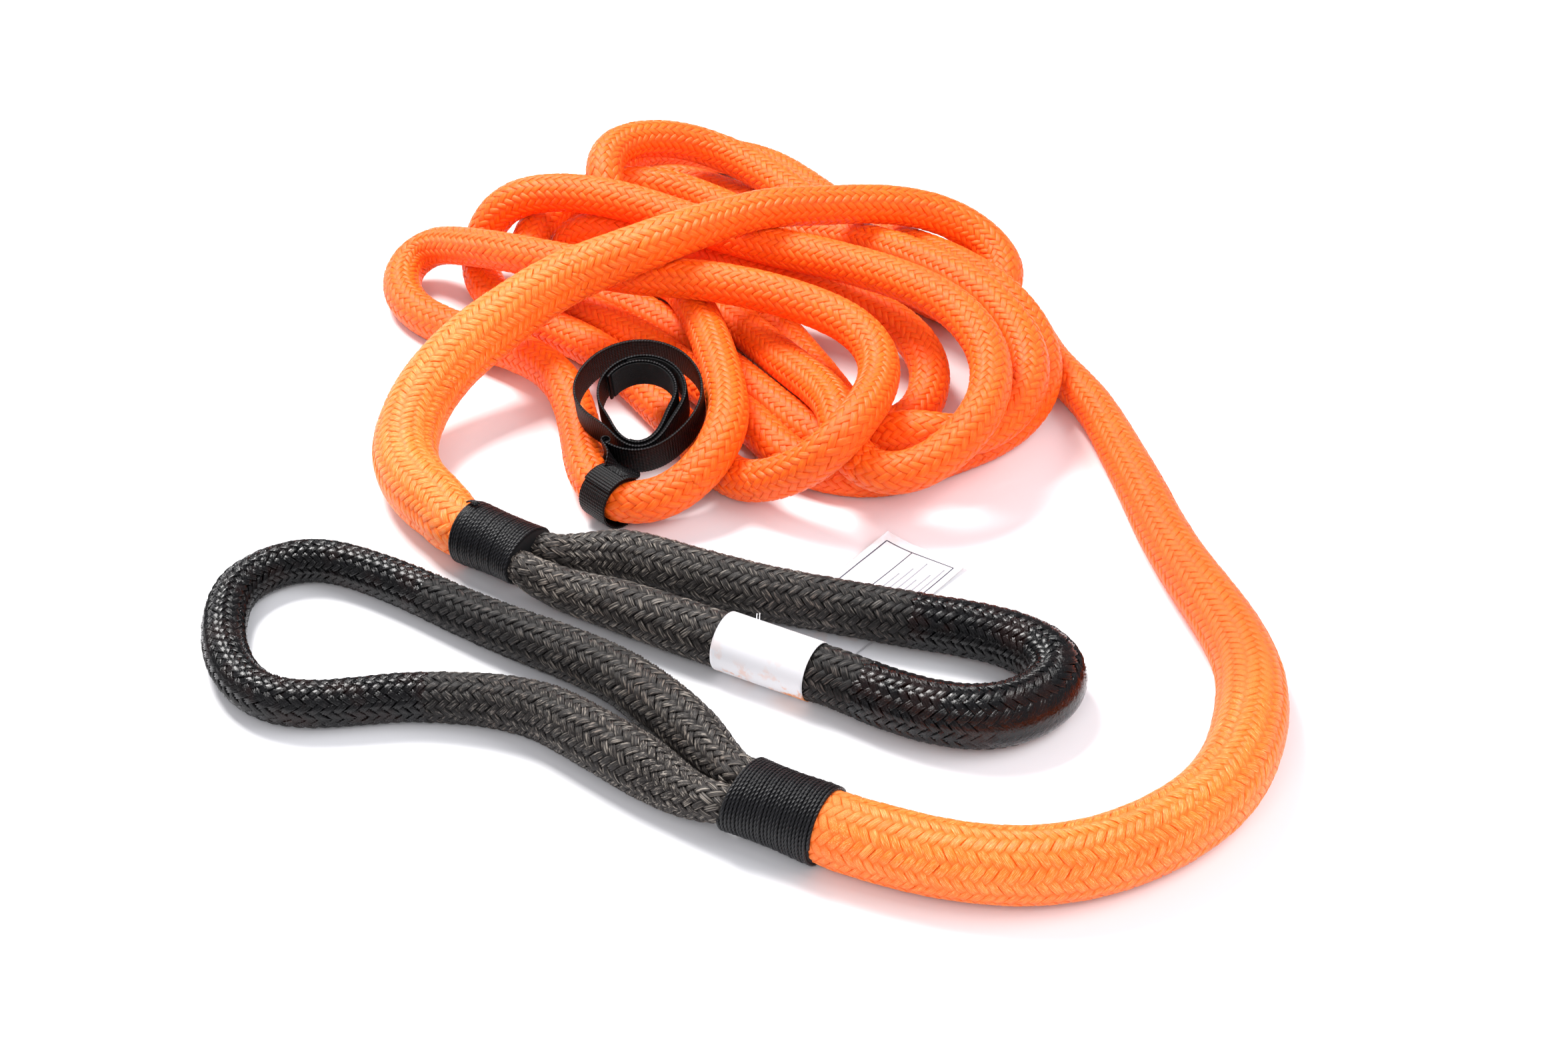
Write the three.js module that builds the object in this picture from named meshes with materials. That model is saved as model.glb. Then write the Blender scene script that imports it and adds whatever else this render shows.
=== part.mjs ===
// Coiled double-braid recovery rope with two sleeved and coated spliced eyes,
// a label sleeve on one eye leg and a rolled storage strap cinched on the coil.
// Millimetres, +Z up. The rope lies on the plane z = 0 and the origin is below
// the middle of the whole object: coil towards +Y, eyes towards -Y.
// Mesh names end in _f for the eye whose throat is nearer -Y, _r for the other.
import * as THREE from 'three';

// ---- rope, splices and eyes ----
const ROPE_RADIUS = 14.70;       // section radius of the plain rope
const ROPE_SIDES = 8;            // facets round every cover, eye sleeve and coating
const CORE_SIDES = 5;            // facets round the rope core and the buried tails
const THICK_CORE_SIDES = 6;      // facets round the splice core and the eye rope
const COVER_BORE_RATIO = 0.70;   // cover bore / cover outside
const CORE_CLEARANCE = 0.9;      // radial gap between a bore and what lies in it
const TURN_CLEARANCE = 5.0;      // extra core gap in sharp turns and climbs
const SPLICE_BORE_RATIO = 0.76;  // splice cover bore / outside
const BURIED_TAIL_RATIO = 0.44;  // buried tail channel / splice outside
const SLEEVE_BORE_RATIO = 0.77;  // eye sleeve bore / outside
const COAT_THICKNESS = 1.2;
const COAT_GAP = 0.4;            // between sleeve and coating
const BALL_STEPS = [0.78, 0.5, 0.22];  // ring distances beyond a ball centre / its radius

// ---- whippings ----
const WHIP_SIDES = 16;
const WHIP_FLAT = Math.cos(Math.PI / WHIP_SIDES);  // flat distance / corner radius
const WHIP_RADIUS_ROPE = 23.3;   // at the rope end
const WHIP_RADIUS_MID = 22.4;
const WHIP_RADIUS_EYE = 25.0;    // at the eye throat
const WHIP_SWELL = 0.6;          // gain in radius beyond the middle
const WHIP_EDGE_DROP = 1.2;      // loss in radius at both rims
const WHIP_BORE = 18.2;
const WHIP_AXIS_Z = WHIP_RADIUS_ROPE * WHIP_FLAT;
const THROAT_RADIUS = 17.6;      // leg ends gathered inside the whipping
const THROAT_INSET = 0.01;       // at each end, as a share of the whipping length
const KNOT_LIFT = 2.746;         // knot level above the top at the rope end
const KNOT_SIDES = 6;

// ---- label ----
const LEG_RADIUS = 18.0;         // eye leg under the label
const LABEL_SIDES = 16;
const LABEL_LENGTH = 64.0;
const LABEL_GAP = 0.5;
const LABEL_THICKNESS = 0.45;
const LABEL_TAIL = {
  clearance: 0.45,               // between sleeve and the start of the tail path
  edgeInset: 1,                  // side edges inside the sleeve ends
  halfThickness: 0.28,
  reach: 169.0,                  // far edge from the leg axis
  groundZ: 0.95,                 // mid-thickness height of the flat part
  shift: -23.0,                  // sideways drift of the far end
  taper: 0.03                    // share of the width lost at the far end
};
const THREAD_LIFT = 1.2;         // thread level above the sleeve
const THREAD_SIDES = 5;

// ---- storage strap ----
const WEBBING_WIDTH = 25.0;
const WEBBING_THICKNESS = 2.2;
const CINCH_INNER = 16.0;        // clear radius round the rope
const CINCH_SIDES = 12;
const CINCH_CENTRE = [-86.444, -61.701, 18.683];
const CINCH_AXIS = [-0.683, 0.730, 0];
const STITCHING = { endMargin: 3, width: 4.0, thickness: 0.7, lift: 0.75 };
const ROLL_CENTRE = [-63.337, 4.928, 48.500];
const ROLL_OUTER = 43.0;         // centreline radius at the outer end
const ROLL_INNER = 24.0;         // centreline radius at the inner end
const ROLL_ANGLE = 2.75 * 2 * Math.PI;
const ROLL_START = THREE.MathUtils.degToRad(-118);
const ROLL_TILT = THREE.MathUtils.degToRad(20);
const ROLL_SEGMENTS = 50;
const PATCH = {
  thickness: 0.9,
  offset: -WEBBING_THICKNESS / 2 - 0.95,  // from the webbing centreline, inwards
  width: WEBBING_WIDTH - 4,
  segments: 10
};

// ---- materials ----
const finish = (settings) => new THREE.MeshStandardMaterial({ metalness: 0, ...settings });
const orange = finish({ color: 0xff7a24, roughness: 0.75 });
const orangeLight = finish({ color: 0xff9440, roughness: 0.75 });
const coreWhite = finish({ color: 0xe9e2d2, roughness: 0.85 });
const sleeveBlack = finish({ color: 0x2b2725, roughness: 0.8 });
const coatBlack = finish({ color: 0x0e0c0c, roughness: 0.25 });
const twineBlack = finish({ color: 0x141316, roughness: 0.55 });
const webBlack = finish({ color: 0x0c0b0c, roughness: 0.7 });
const paper = finish({ color: 0xf6f4f2, roughness: 0.6 });

const group = new THREE.Group();

function put(name, geometry, material) {
  const mesh = new THREE.Mesh(geometry, material);
  mesh.name = name;
  group.add(mesh);
  return mesh;
}

// ---- directions and frames ----
const UP = new THREE.Vector3(0, 0, 1);
const vector = ([x, y, z]) => new THREE.Vector3(x, y, z);
const direction = (from, to) => to.clone().sub(from).normalize();
const levelSide = (tangent) => new THREE.Vector3().crossVectors(tangent, UP).normalize();

// Frame with an upright ring plane, for a level tangent.
function levelFrame(centre, tangent) {
  return { centre, tangent, side: levelSide(tangent), up: UP };
}

function pointAt(frame, along, across, z) {
  return frame.centre.clone()
    .addScaledVector(frame.tangent, along)
    .addScaledVector(frame.side, across)
    .setZ(z);
}

// Ring frames along a path: the ring plane bisects the bend, one ring axis
// stays level so a facet of every section faces the ground.
function ringFrames(points) {
  return points.map((centre, i) => {
    const tangent = new THREE.Vector3();
    if (i > 0) tangent.add(direction(points[i - 1], centre));
    if (i < points.length - 1) tangent.add(direction(centre, points[i + 1]));
    tangent.normalize();
    const side = levelSide(tangent);
    const up = new THREE.Vector3().crossVectors(side, tangent).normalize();
    return { centre, tangent, side, up };
  });
}

// ---- rings and closed bodies ----
// Regular polygon with a flat side facing down.
function polygon(radius, sides) {
  return Array.from({ length: sides }, (_, k) => {
    const angle = -Math.PI / 2 + Math.PI / sides + 2 * Math.PI * k / sides;
    return new THREE.Vector2(radius * Math.cos(angle), radius * Math.sin(angle));
  });
}

// Corner radius of a polygon whose flats lie at the given radius.
const cornerRadius = (flatRadius, sides) => flatRadius / Math.cos(Math.PI / sides);

function ring({ centre, side, up }, radius, sides) {
  return polygon(radius, sides).map(({ x, y }) => centre.clone()
    .addScaledVector(side, x)
    .addScaledVector(up, y));
}

const rings = (frames, radii, sides) => frames.map((frame, i) => ring(frame, radii[i], sides));

// The signed volume decides the winding, so every body faces outward.
function orient(vertices, triangles) {
  let volume = 0;
  for (let i = 0; i < triangles.length; i += 3) {
    const [a, b, c] = triangles.slice(i, i + 3).map((index) => vertices[index]);
    volume += a.dot(new THREE.Vector3().crossVectors(b, c));
  }
  if (volume >= 0) return triangles;
  const flipped = [];
  for (let i = 0; i < triangles.length; i += 3) {
    flipped.push(triangles[i], triangles[i + 2], triangles[i + 1]);
  }
  return flipped;
}

function body(vertices, triangles) {
  const geometry = new THREE.BufferGeometry();
  const positions = vertices.flatMap(({ x, y, z }) => [x, y, z]);
  geometry.setAttribute('position', new THREE.Float32BufferAttribute(positions, 3));
  geometry.setIndex(orient(vertices, triangles));
  geometry.computeVertexNormals();
  return geometry;
}

// Triangles joining successive rings, the first of which starts at index `first`.
function wall(first, ringCount, sides, isBore = false) {
  const triangles = [];
  for (let i = 0; i < ringCount - 1; i++) {
    for (let k = 0; k < sides; k++) {
      const a = first + i * sides + k;
      const b = first + i * sides + (k + 1) % sides;
      const c = a + sides;
      const d = b + sides;
      triangles.push(...(isBore ? [a, d, b, a, c, d] : [a, b, d, a, d, c]));
    }
  }
  return triangles;
}

function solidFromRings(ringList) {
  const sides = ringList[0].length;
  const last = (ringList.length - 1) * sides;
  const triangles = wall(0, ringList.length, sides);
  for (let k = 1; k < sides - 1; k++) {
    triangles.push(0, k + 1, k, last, last + k, last + k + 1);
  }
  return body(ringList.flat(), triangles);
}

function solidSweep(points, radii, sides) {
  return solidFromRings(rings(ringFrames(points), radii, sides));
}

// Open-ended pipe whose outer and bore rings have equal side counts.
function pipeFromRings(outerRings, boreRings) {
  const sides = outerRings[0].length;
  const count = outerRings.length;
  const bore = count * sides;
  const last = (count - 1) * sides;
  const triangles = [...wall(0, count, sides), ...wall(bore, count, sides, true)];
  for (let k = 0; k < sides; k++) {
    const next = (k + 1) % sides;
    triangles.push(k, bore + next, next, k, bore + k, bore + next);
    triangles.push(last + k, last + next, bore + last + next);
    triangles.push(last + k, bore + last + next, bore + last + k);
  }
  return body([...outerRings, ...boreRings].flat(), triangles);
}

// Open-ended pipe whose outer and bore side counts may differ.
function pipeSweep(points, outer, bore, sides, boreSides) {
  const frames = ringFrames(points);
  const count = points.length;
  const boreFirst = count * sides;
  const vertices = [...rings(frames, outer, sides), ...rings(frames, bore, boreSides)].flat();
  const triangles = [
    ...wall(0, count, sides),
    ...wall(boreFirst, count, boreSides, true)
  ];
  for (const end of [0, count - 1]) {
    const rim = polygon(outer[end], sides);
    const hole = polygon(bore[end], boreSides);
    const flat = [...rim, ...hole];
    const toVertex = (k) => (k < sides ? end * sides + k
      : boreFirst + end * boreSides + k - sides);
    for (const face of THREE.ShapeUtils.triangulateShape(rim, [hole])) {
      const [a, b, c] = face.map(toVertex);
      const clockwise = THREE.ShapeUtils.isClockWise(face.map((k) => flat[k]));
      // the start cap faces back along the path, the end cap forward
      const keep = clockwise === (end === 0);
      triangles.push(...(keep ? [a, b, c] : [a, c, b]));
    }
  }
  return body(vertices, triangles);
}

// ---- paths ----
// Station rows are x, y, z of the centre and section radius;
// rows of three take ROPE_RADIUS.
function toPath(stations) {
  return {
    points: stations.map(vector),
    radii: stations.map(([, , , radius = ROPE_RADIUS]) => radius)
  };
}

const reversed = ({ points, radii }) => ({
  points: points.toReversed(),
  radii: radii.toReversed()
});

// A ball-shaped end centred on the first station, so the piece can bend about
// that point beside a square-cut neighbour.
function roundStart({ points, radii }) {
  const [centre] = points;
  const [radius] = radii;
  const tangent = direction(centre, points[1]);
  const ballPoints = BALL_STEPS.map((step) => (
    centre.clone().addScaledVector(tangent, -step * radius)));
  const ballRadii = BALL_STEPS.map((step) => radius * Math.sqrt(1 - step * step));
  return { points: [...ballPoints, ...points], radii: [...ballRadii, ...radii] };
}

const roundEnd = (path) => reversed(roundStart(reversed(path)));
const scaled = (radii, ratio) => radii.map((radius) => radius * ratio);
const shrunk = (radii, gap) => radii.map((radius) => radius - gap);

// ---- rope: cover braid over core braid ----
// The coil runs from splice r to the tail, which meets splice f.
const COIL = [
  [-156.84, 100.15, 66.44, 21.25], [-117.28, 122.60, 81.70, 19.52],
  [-59.94, 133.73, 102.14, 17.42], [-19.46, 159.67, 103.54, 15.62],
  [24.94, 185.74, 102.31], [75.59, 209.86, 90.51], [127.91, 228.04, 78.81],
  [165.46, 226.91, 64.24], [184.86, 213.97, 52.99], [193.00, 192.19, 47.99],
  [188.65, 178.28, 38.92], [180.66, 173.68, 31.19], [164.85, 177.18, 21.24],
  [130.33, 213.60, 15.12], [100.37, 254.44, 13.91], [70.99, 295.33, 13.58],
  [35.15, 330.83, 13.58], [-6.90, 360.61, 13.68], [-39.49, 381.81, 15.40],
  [-69.38, 383.18, 16.15], [-81.98, 372.89, 15.29], [-81.95, 350.44, 13.58],
  [-53.25, 306.58, 13.58], [-24.84, 259.42, 13.58], [1.38, 209.60, 13.58],
  [27.15, 160.77, 13.58], [49.35, 111.11, 13.66], [70.36, 59.66, 13.58],
  [85.38, 31.80, 13.58], [98.52, 27.52, 13.61], [108.47, 29.72, 13.96],
  [126.19, 46.32, 15.33], [134.66, 72.58, 20.59], [132.23, 99.67, 27.59],
  [110.46, 134.53, 34.88], [66.99, 166.78, 38.30], [19.53, 188.10, 43.13],
  [-26.27, 214.05, 44.55], [-72.72, 238.72, 50.27], [-110.68, 249.04, 48.35],
  [-126.61, 252.42, 32.60], [-130.29, 247.00, 24.07], [-126.56, 231.58, 16.27],
  [-97.70, 200.64, 13.58], [-53.80, 161.04, 13.58], [-19.70, 116.08, 13.58],
  [13.42, 69.95, 13.58], [46.07, 24.15, 13.58], [66.79, 4.68, 13.58],
  [88.19, -5.46, 24.39], [109.31, -14.65, 43.42], [135.43, -23.46, 43.40],
  [161.55, -17.87, 37.24], [183.43, -0.60, 40.68], [197.36, 22.44, 47.98],
  [200.90, 48.58, 54.69], [189.64, 87.05, 64.17], [158.01, 131.74, 70.73],
  [123.17, 178.55, 64.14], [81.82, 220.42, 54.26], [39.13, 255.98, 42.63],
  [1.74, 292.57, 34.39], [-27.04, 316.09, 35.52], [-60.63, 327.76, 43.40],
  [-99.49, 327.65, 43.60], [-122.53, 316.55, 42.40], [-157.18, 275.03, 37.79],
  [-163.18, 247.73, 30.23], [-154.78, 219.84, 23.32], [-128.42, 187.83, 19.63],
  [-87.86, 151.60, 17.98], [-50.56, 108.42, 19.64], [-18.40, 63.74, 18.07],
  [12.39, 18.65, 18.45], [44.26, -20.80, 13.76], [82.09, -34.52, 13.58],
  [108.60, -31.82, 13.58], [155.85, 0.72, 13.58], [190.99, 26.37, 17.52],
  [211.62, 61.15, 27.87], [213.04, 86.84, 37.20], [197.52, 123.81, 51.52],
  [173.43, 157.35, 58.25], [142.79, 200.11, 52.14], [108.85, 238.25, 44.61],
  [72.42, 273.76, 41.50], [41.22, 313.54, 42.29], [9.39, 353.05, 44.99],
  [-20.28, 372.05, 50.54], [-55.00, 368.98, 62.68], [-89.51, 349.60, 71.25],
  [-103.11, 328.24, 74.11], [-106.91, 306.00, 70.32], [-104.52, 289.56, 56.54],
  [-97.14, 270.09, 28.04], [-88.57, 248.72, 18.07], [-68.26, 215.56, 23.13],
  [-42.05, 171.94, 41.98], [-26.23, 118.52, 43.90], [-15.07, 62.96, 48.27],
  [-7.09, 8.28, 47.61], [-9.84, -32.20, 45.77], [-21.61, -54.90, 36.74],
  [-41.14, -69.89, 25.35], [-65.77, -74.32, 19.53], [-76.19, -72.65, 18.68],
  [-96.70, -50.75, 18.68], [-107.56, 4.14, 17.49], [-120.33, 61.03, 20.52],
  [-141.45, 98.02, 21.47], [-183.80, 135.12, 17.33], [-226.40, 169.80, 13.84],
  [-251.02, 200.93, 14.31], [-257.36, 225.60, 15.69], [-246.73, 245.66, 23.69],
  [-237.76, 247.97, 29.13], [-204.43, 224.76, 46.45], [-167.15, 193.37, 58.24],
  [-120.24, 166.92, 63.36], [-65.67, 143.65, 67.62], [-10.52, 120.12, 76.98],
  [43.21, 94.19, 74.71], [78.36, 66.64, 72.08], [92.95, 41.94, 68.78],
  [96.46, 13.66, 67.26], [83.40, -41.57, 72.19], [70.89, -62.18, 68.43],
  [54.84, -68.89, 53.55], [24.78, -59.75, 29.17], [5.87, -46.00, 16.95],
  [-15.63, -16.82, 13.58], [-41.66, 29.26, 13.71], [-69.41, 76.26, 14.60],
  [-100.25, 120.33, 16.20], [-141.23, 158.77, 15.48], [-180.90, 199.30, 14.21],
  [-197.50, 235.67, 15.54], [-200.06, 257.24, 24.39], [-192.81, 267.57, 43.96],
  [-174.75, 267.80, 62.07], [-138.74, 258.04, 75.87], [-88.99, 236.90, 80.03],
  [-42.43, 214.26, 75.71], [2.14, 188.66, 72.24], [47.89, 163.37, 73.18],
  [93.14, 131.55, 79.28], [134.80, 91.00, 83.52], [160.34, 53.53, 80.95],
  [171.73, 9.73, 73.57], [162.76, -33.42, 64.86], [137.57, -61.32, 50.41],
  [116.34, -69.92, 42.36], [94.74, -66.89, 38.77], [78.71, -51.37, 39.79],
  [68.03, -17.43, 47.74], [61.52, 22.09, 44.31], [38.28, 76.47, 32.16],
  [9.40, 130.83, 25.25], [-19.15, 184.34, 17.64], [-46.75, 237.05, 13.58],
  [-76.34, 287.10, 13.58], [-108.47, 334.14, 13.58], [-115.51, 360.65, 16.28],
  [-106.19, 399.87, 20.25], [-92.35, 422.17, 21.77], [-71.63, 436.32, 20.54],
  [-32.45, 437.41, 15.81], [6.14, 424.18, 15.05], [36.51, 397.83, 14.31],
  [68.13, 353.50, 13.60], [99.31, 308.57, 13.58], [130.76, 263.46, 13.58],
  [167.54, 222.05, 13.58], [207.60, 181.66, 13.58], [221.12, 122.87, 13.58],
  [237.47, 82.79, 13.58]
];
const TAIL = [
  [243.50, 68.73, 13.58], [255.43, 28.99, 13.78, 14.85],
  [265.28, -24.62, 15.55, 15.95], [274.38, -78.94, 17.01, 16.91],
  [281.27, -115.89, 17.42, 17.54]
];

function addRope(tag, { points, radii }) {
  const bore = scaled(radii, COVER_BORE_RATIO);
  // the core sits looser where the rope turns sharply or climbs
  const core = ringFrames(points).map(({ centre, tangent }, i) => {
    const isEnd = i === 0 || i === points.length - 1;
    const bend = isEnd ? 0
      : centre.clone().sub(points[i - 1]).angleTo(points[i + 1].clone().sub(centre));
    const looseness = Math.sin(bend / 2) ** 2 + tangent.z ** 2;
    return bore[i] - CORE_CLEARANCE - TURN_CLEARANCE * looseness;
  });
  put(`rope_cover_${tag}`, pipeSweep(points, radii, bore, ROPE_SIDES, CORE_SIDES), orange);
  put(`rope_core_${tag}`, solidSweep(points, core, CORE_SIDES), coreWhite);
}
addRope('coil', toPath(COIL));
addRope('tail', roundStart(toPath(TAIL)));

// ---- splices: swollen cover, core braid pipe, buried tail ----
// from the rope tail to whipping f
const SPLICE_F = [
  [285.46, -133.93, 17.73, 17.92], [300.80, -189.02, 19.14, 19.48],
  [310.29, -231.17, 20.36, 20.40], [312.59, -259.78, 21.26, 21.09],
  [310.04, -288.27, 22.06, 22.06], [299.39, -329.43, 22.50, 22.50],
  [287.93, -354.95, 22.50, 22.50], [271.89, -377.66, 22.50, 22.50],
  [251.68, -396.84, 22.50, 22.50], [228.59, -412.44, 22.50, 22.50],
  [203.25, -423.90, 22.50, 22.50], [176.25, -430.09, 22.50, 22.50],
  [148.48, -430.18, 22.50, 22.50], [121.03, -425.31, 22.50, 22.50],
  [81.68, -411.39, 22.68, 22.50], [65.92, -404.81, 22.85, 22.40],
  [57.04, -399.59, 22.85, 22.30]
];
// from whipping r to the coil
const SPLICE_R = [
  [-174.01, -110.90, 22.85, 22.30], [-182.56, -105.17, 22.85, 22.40],
  [-208.65, -65.68, 22.51, 22.50], [-221.20, -40.12, 22.98, 22.50],
  [-224.68, -26.32, 24.01, 22.50], [-225.93, -12.16, 25.98, 22.50],
  [-224.92, 2.04, 28.97, 22.50], [-217.11, 29.47, 37.36, 22.50],
  [-202.91, 54.47, 46.79, 22.50], [-184.03, 76.47, 55.58, 22.50],
  [-173.57, 86.39, 59.82, 22.06]
];

function addSplice(tag, { points, radii }) {
  const bore = scaled(radii, SPLICE_BORE_RATIO);
  const core = shrunk(bore, CORE_CLEARANCE);
  const channel = scaled(radii, BURIED_TAIL_RATIO);
  const buried = shrunk(channel, CORE_CLEARANCE);
  put(`splice_cover_${tag}`,
    pipeSweep(points, radii, bore, ROPE_SIDES, THICK_CORE_SIDES), orangeLight);
  put(`splice_core_${tag}`,
    pipeSweep(points, core, channel, THICK_CORE_SIDES, CORE_SIDES), coreWhite);
  put(`buried_tail_${tag}`, solidSweep(points, buried, CORE_SIDES), coreWhite);
}
addSplice('f', roundStart(toPath(SPLICE_F)));
addSplice('r', roundEnd(toPath(SPLICE_R)));

// ---- whippings: twine sleeve wound over the throat, leg ends inside ----
// axis ends, rope end first
const WHIP_F = [[56.436, -399.232, WHIP_AXIS_Z], [7.098, -370.233, WHIP_AXIS_Z]];
const WHIP_R = [[-173.425, -111.295, WHIP_AXIS_Z], [-131.375, -139.467, WHIP_AXIS_Z]];
// share of the length from the rope end, outer radius
const WHIP_PROFILE = [
  [0, WHIP_RADIUS_ROPE - WHIP_EDGE_DROP],
  [0.04, WHIP_RADIUS_ROPE],
  [0.35, WHIP_RADIUS_MID],
  [0.7, WHIP_RADIUS_MID + WHIP_SWELL],
  [0.96, WHIP_RADIUS_EYE],
  [1, WHIP_RADIUS_EYE - WHIP_EDGE_DROP]
];
// along the whipping, across it, height above the knot level, radius
const KNOT = [
  [2.5, -9, -2.6, 0.5], [2, -6, 0.2, 1.1], [4, -2.5, 1.2, 1.5],
  [6.5, -0.5, 0.6, 1.4], [8, 3, 0.3, 0.6]
];

function addWhipping(tag, ends) {
  const [start, end] = ends.map(vector);
  const tangent = direction(start, end);
  const onAxis = (share) => start.clone().lerp(end, share);
  // each outer ring is set at the height where its flat touches z = 0
  const outerRings = WHIP_PROFILE.map(([share, radius]) => (
    ring(levelFrame(onAxis(share).setZ(radius * WHIP_FLAT), tangent), radius, WHIP_SIDES)));
  const boreRings = WHIP_PROFILE.map(([share]) => (
    ring(levelFrame(onAxis(share), tangent), WHIP_BORE, WHIP_SIDES)));
  put(`whipping_${tag}`, pipeFromRings(outerRings, boreRings), twineBlack);
  const legEnds = [onAxis(THROAT_INSET), onAxis(1 - THROAT_INSET)];
  put(`throat_legs_${tag}`,
    solidSweep(legEnds, [THROAT_RADIUS, THROAT_RADIUS], WHIP_SIDES), coreWhite);
}

// Knotted end of the whipping twine, lying on top of whipping r.
function addKnot() {
  const [start, end] = WHIP_R.map(vector);
  const frame = levelFrame(start, direction(start, end));
  const level = 2 * WHIP_AXIS_Z + KNOT_LIFT;
  const points = KNOT.map(([along, across, height]) => (
    pointAt(frame, along, across, level + height)));
  const radii = KNOT.map(([, , , radius]) => radius);
  put('whipping_knot_r', solidSweep(points, radii, KNOT_SIDES), twineBlack);
}
addWhipping('f', WHIP_F);
addWhipping('r', WHIP_R);
addKnot();

// ---- eyes: rope inside a chafe sleeve, coating over the bight ----
// each runs from its throat round the loop and back
const EYE_F = [
  [2.96, -351.22, 22.85, 12.40], [-2.62, -344.94, 18.18, 13.48],
  [-6.47, -336.88, 15.53, 14.56], [-13.87, -320.48, 16.75, 16.72],
  [-30.51, -299.22, 18.16, 18.15], [-59.66, -265.01, 17.89, 17.84],
  [-79.40, -247.22, 17.22, 17.26], [-109.38, -227.12, 16.69, 16.66],
  [-147.62, -203.49, 15.85, 15.85], [-184.28, -177.81, 15.07, 15.10],
  [-213.77, -156.95, 14.74, 14.76], [-245.12, -139.06, 14.37, 14.32],
  [-261.82, -133.10, 14.51, 14.30], [-270.45, -131.99, 14.53, 14.30],
  [-279.18, -132.75, 14.51, 14.30], [-287.75, -135.29, 14.48, 14.30],
  [-295.77, -139.39, 14.47, 14.30], [-302.84, -144.89, 14.49, 14.31],
  [-313.53, -159.21, 14.49, 14.37], [-316.81, -167.57, 14.48, 14.40],
  [-318.77, -185.39, 14.51, 14.40], [-315.77, -212.55, 14.38, 14.40],
  [-307.95, -238.54, 14.34, 14.40], [-299.42, -254.23, 14.30, 14.40],
  [-287.53, -267.25, 14.35, 14.42], [-272.29, -275.93, 14.40, 14.56],
  [-255.09, -279.31, 14.65, 14.69], [-227.87, -277.61, 14.87, 14.90],
  [-191.35, -273.70, 15.41, 15.34], [-156.11, -276.48, 16.36, 16.31],
  [-130.22, -282.79, 17.19, 17.16], [-113.81, -289.74, 17.72, 17.73],
  [-92.76, -305.38, 18.59, 18.51], [-65.00, -329.06, 18.85, 18.87],
  [-37.03, -352.34, 16.76, 16.72], [-25.50, -365.74, 15.47, 14.56],
  [-18.77, -371.28, 18.17, 13.48], [-11.53, -375.87, 22.85, 12.40]
];
const EYE_R = [
  [-112.45, -134.93, 22.85, 12.40], [-105.07, -136.62, 18.46, 13.48],
  [-97.69, -132.91, 16.29, 14.56], [-90.86, -128.41, 16.95, 15.64],
  [-83.11, -126.31, 18.06, 16.72], [-75.07, -128.02, 18.43, 17.29],
  [-35.17, -148.48, 18.59, 17.80], [5.87, -166.78, 18.55, 17.80],
  [47.81, -181.77, 18.62, 17.80], [82.86, -192.42, 18.63, 17.85],
  [125.60, -205.05, 18.82, 18.00], [159.74, -216.27, 19.11, 18.23],
  [175.57, -224.82, 19.44, 18.54], [188.95, -236.78, 19.79, 18.85],
  [193.61, -244.37, 19.96, 19.02], [196.05, -252.87, 20.07, 19.18],
  [195.97, -261.71, 20.17, 19.35], [193.27, -270.17, 20.28, 19.51],
  [188.56, -277.78, 20.38, 19.66], [175.42, -289.88, 20.56, 19.91],
  [159.29, -297.15, 20.64, 20.00], [141.80, -298.67, 20.52, 19.87],
  [124.19, -295.00, 20.32, 19.59], [99.33, -284.00, 19.86, 19.13],
  [68.58, -264.55, 19.45, 18.00], [-17.10, -216.64, 19.45, 18.00],
  [-54.85, -194.46, 17.91, 17.40], [-87.62, -175.68, 16.78, 15.73],
  [-112.93, -165.70, 15.47, 13.73], [-120.96, -162.73, 18.30, 13.07],
  [-128.37, -158.69, 22.85, 12.40]
];
// first and last eye stations wrapped by the coating
const COAT_F = [9, 28];
const COAT_R = [10, 24];

function addEye(tag, stations, coatSpan) {
  const { points, radii } = roundEnd(roundStart(toPath(stations)));
  // the ball end shifts the station numbers
  const [first, last] = coatSpan.map((station) => station + BALL_STEPS.length);
  const sleeve = radii.map((radius, i) => (
    i >= first && i <= last ? radius - COAT_THICKNESS - COAT_GAP : radius));
  const bore = scaled(sleeve, SLEEVE_BORE_RATIO);
  put(`eye_sleeve_${tag}`,
    pipeSweep(points, sleeve, bore, ROPE_SIDES, THICK_CORE_SIDES), sleeveBlack);
  put(`eye_rope_${tag}`,
    solidSweep(points, shrunk(bore, CORE_CLEARANCE), THICK_CORE_SIDES), coreWhite);
  // the coating reuses the sleeve's own ring planes
  const coatFrames = ringFrames(points).slice(first, last + 1);
  const coatOuter = radii.slice(first, last + 1);
  const coating = pipeFromRings(
    rings(coatFrames, coatOuter, ROPE_SIDES),
    rings(coatFrames, shrunk(coatOuter, COAT_THICKNESS), ROPE_SIDES)
  );
  put(`eye_coating_${tag}`, coating, coatBlack);
}
addEye('f', EYE_F, COAT_F);
addEye('r', EYE_R, COAT_R);

// ---- label: sleeve round a straight stretch of eye r, and its free tail ----
const LABEL_SPAN = [[68.583, -264.550, 19.450], [-17.099, -216.636, 19.450]];
// distance beyond the start of the path, height, share of the sideways drift
const LABEL_TAIL_PATH = [
  [0.2, 17.0, 0], [1.6, 10.0, 0], [5.5, 4.4, 0], [11.5, 1.5, 0],
  [18, LABEL_TAIL.groundZ, 0.07], [60, LABEL_TAIL.groundZ, 0.5]
];
// along the sleeve, across it, height above the thread level, radius
const THREAD = [[14, 4, -0.2, 0.35], [16, 6, 1.5, 0.4], [17, 8.5, 2.6, 0.25]];

const [labelStart, labelEnd] = LABEL_SPAN.map(vector);
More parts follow.
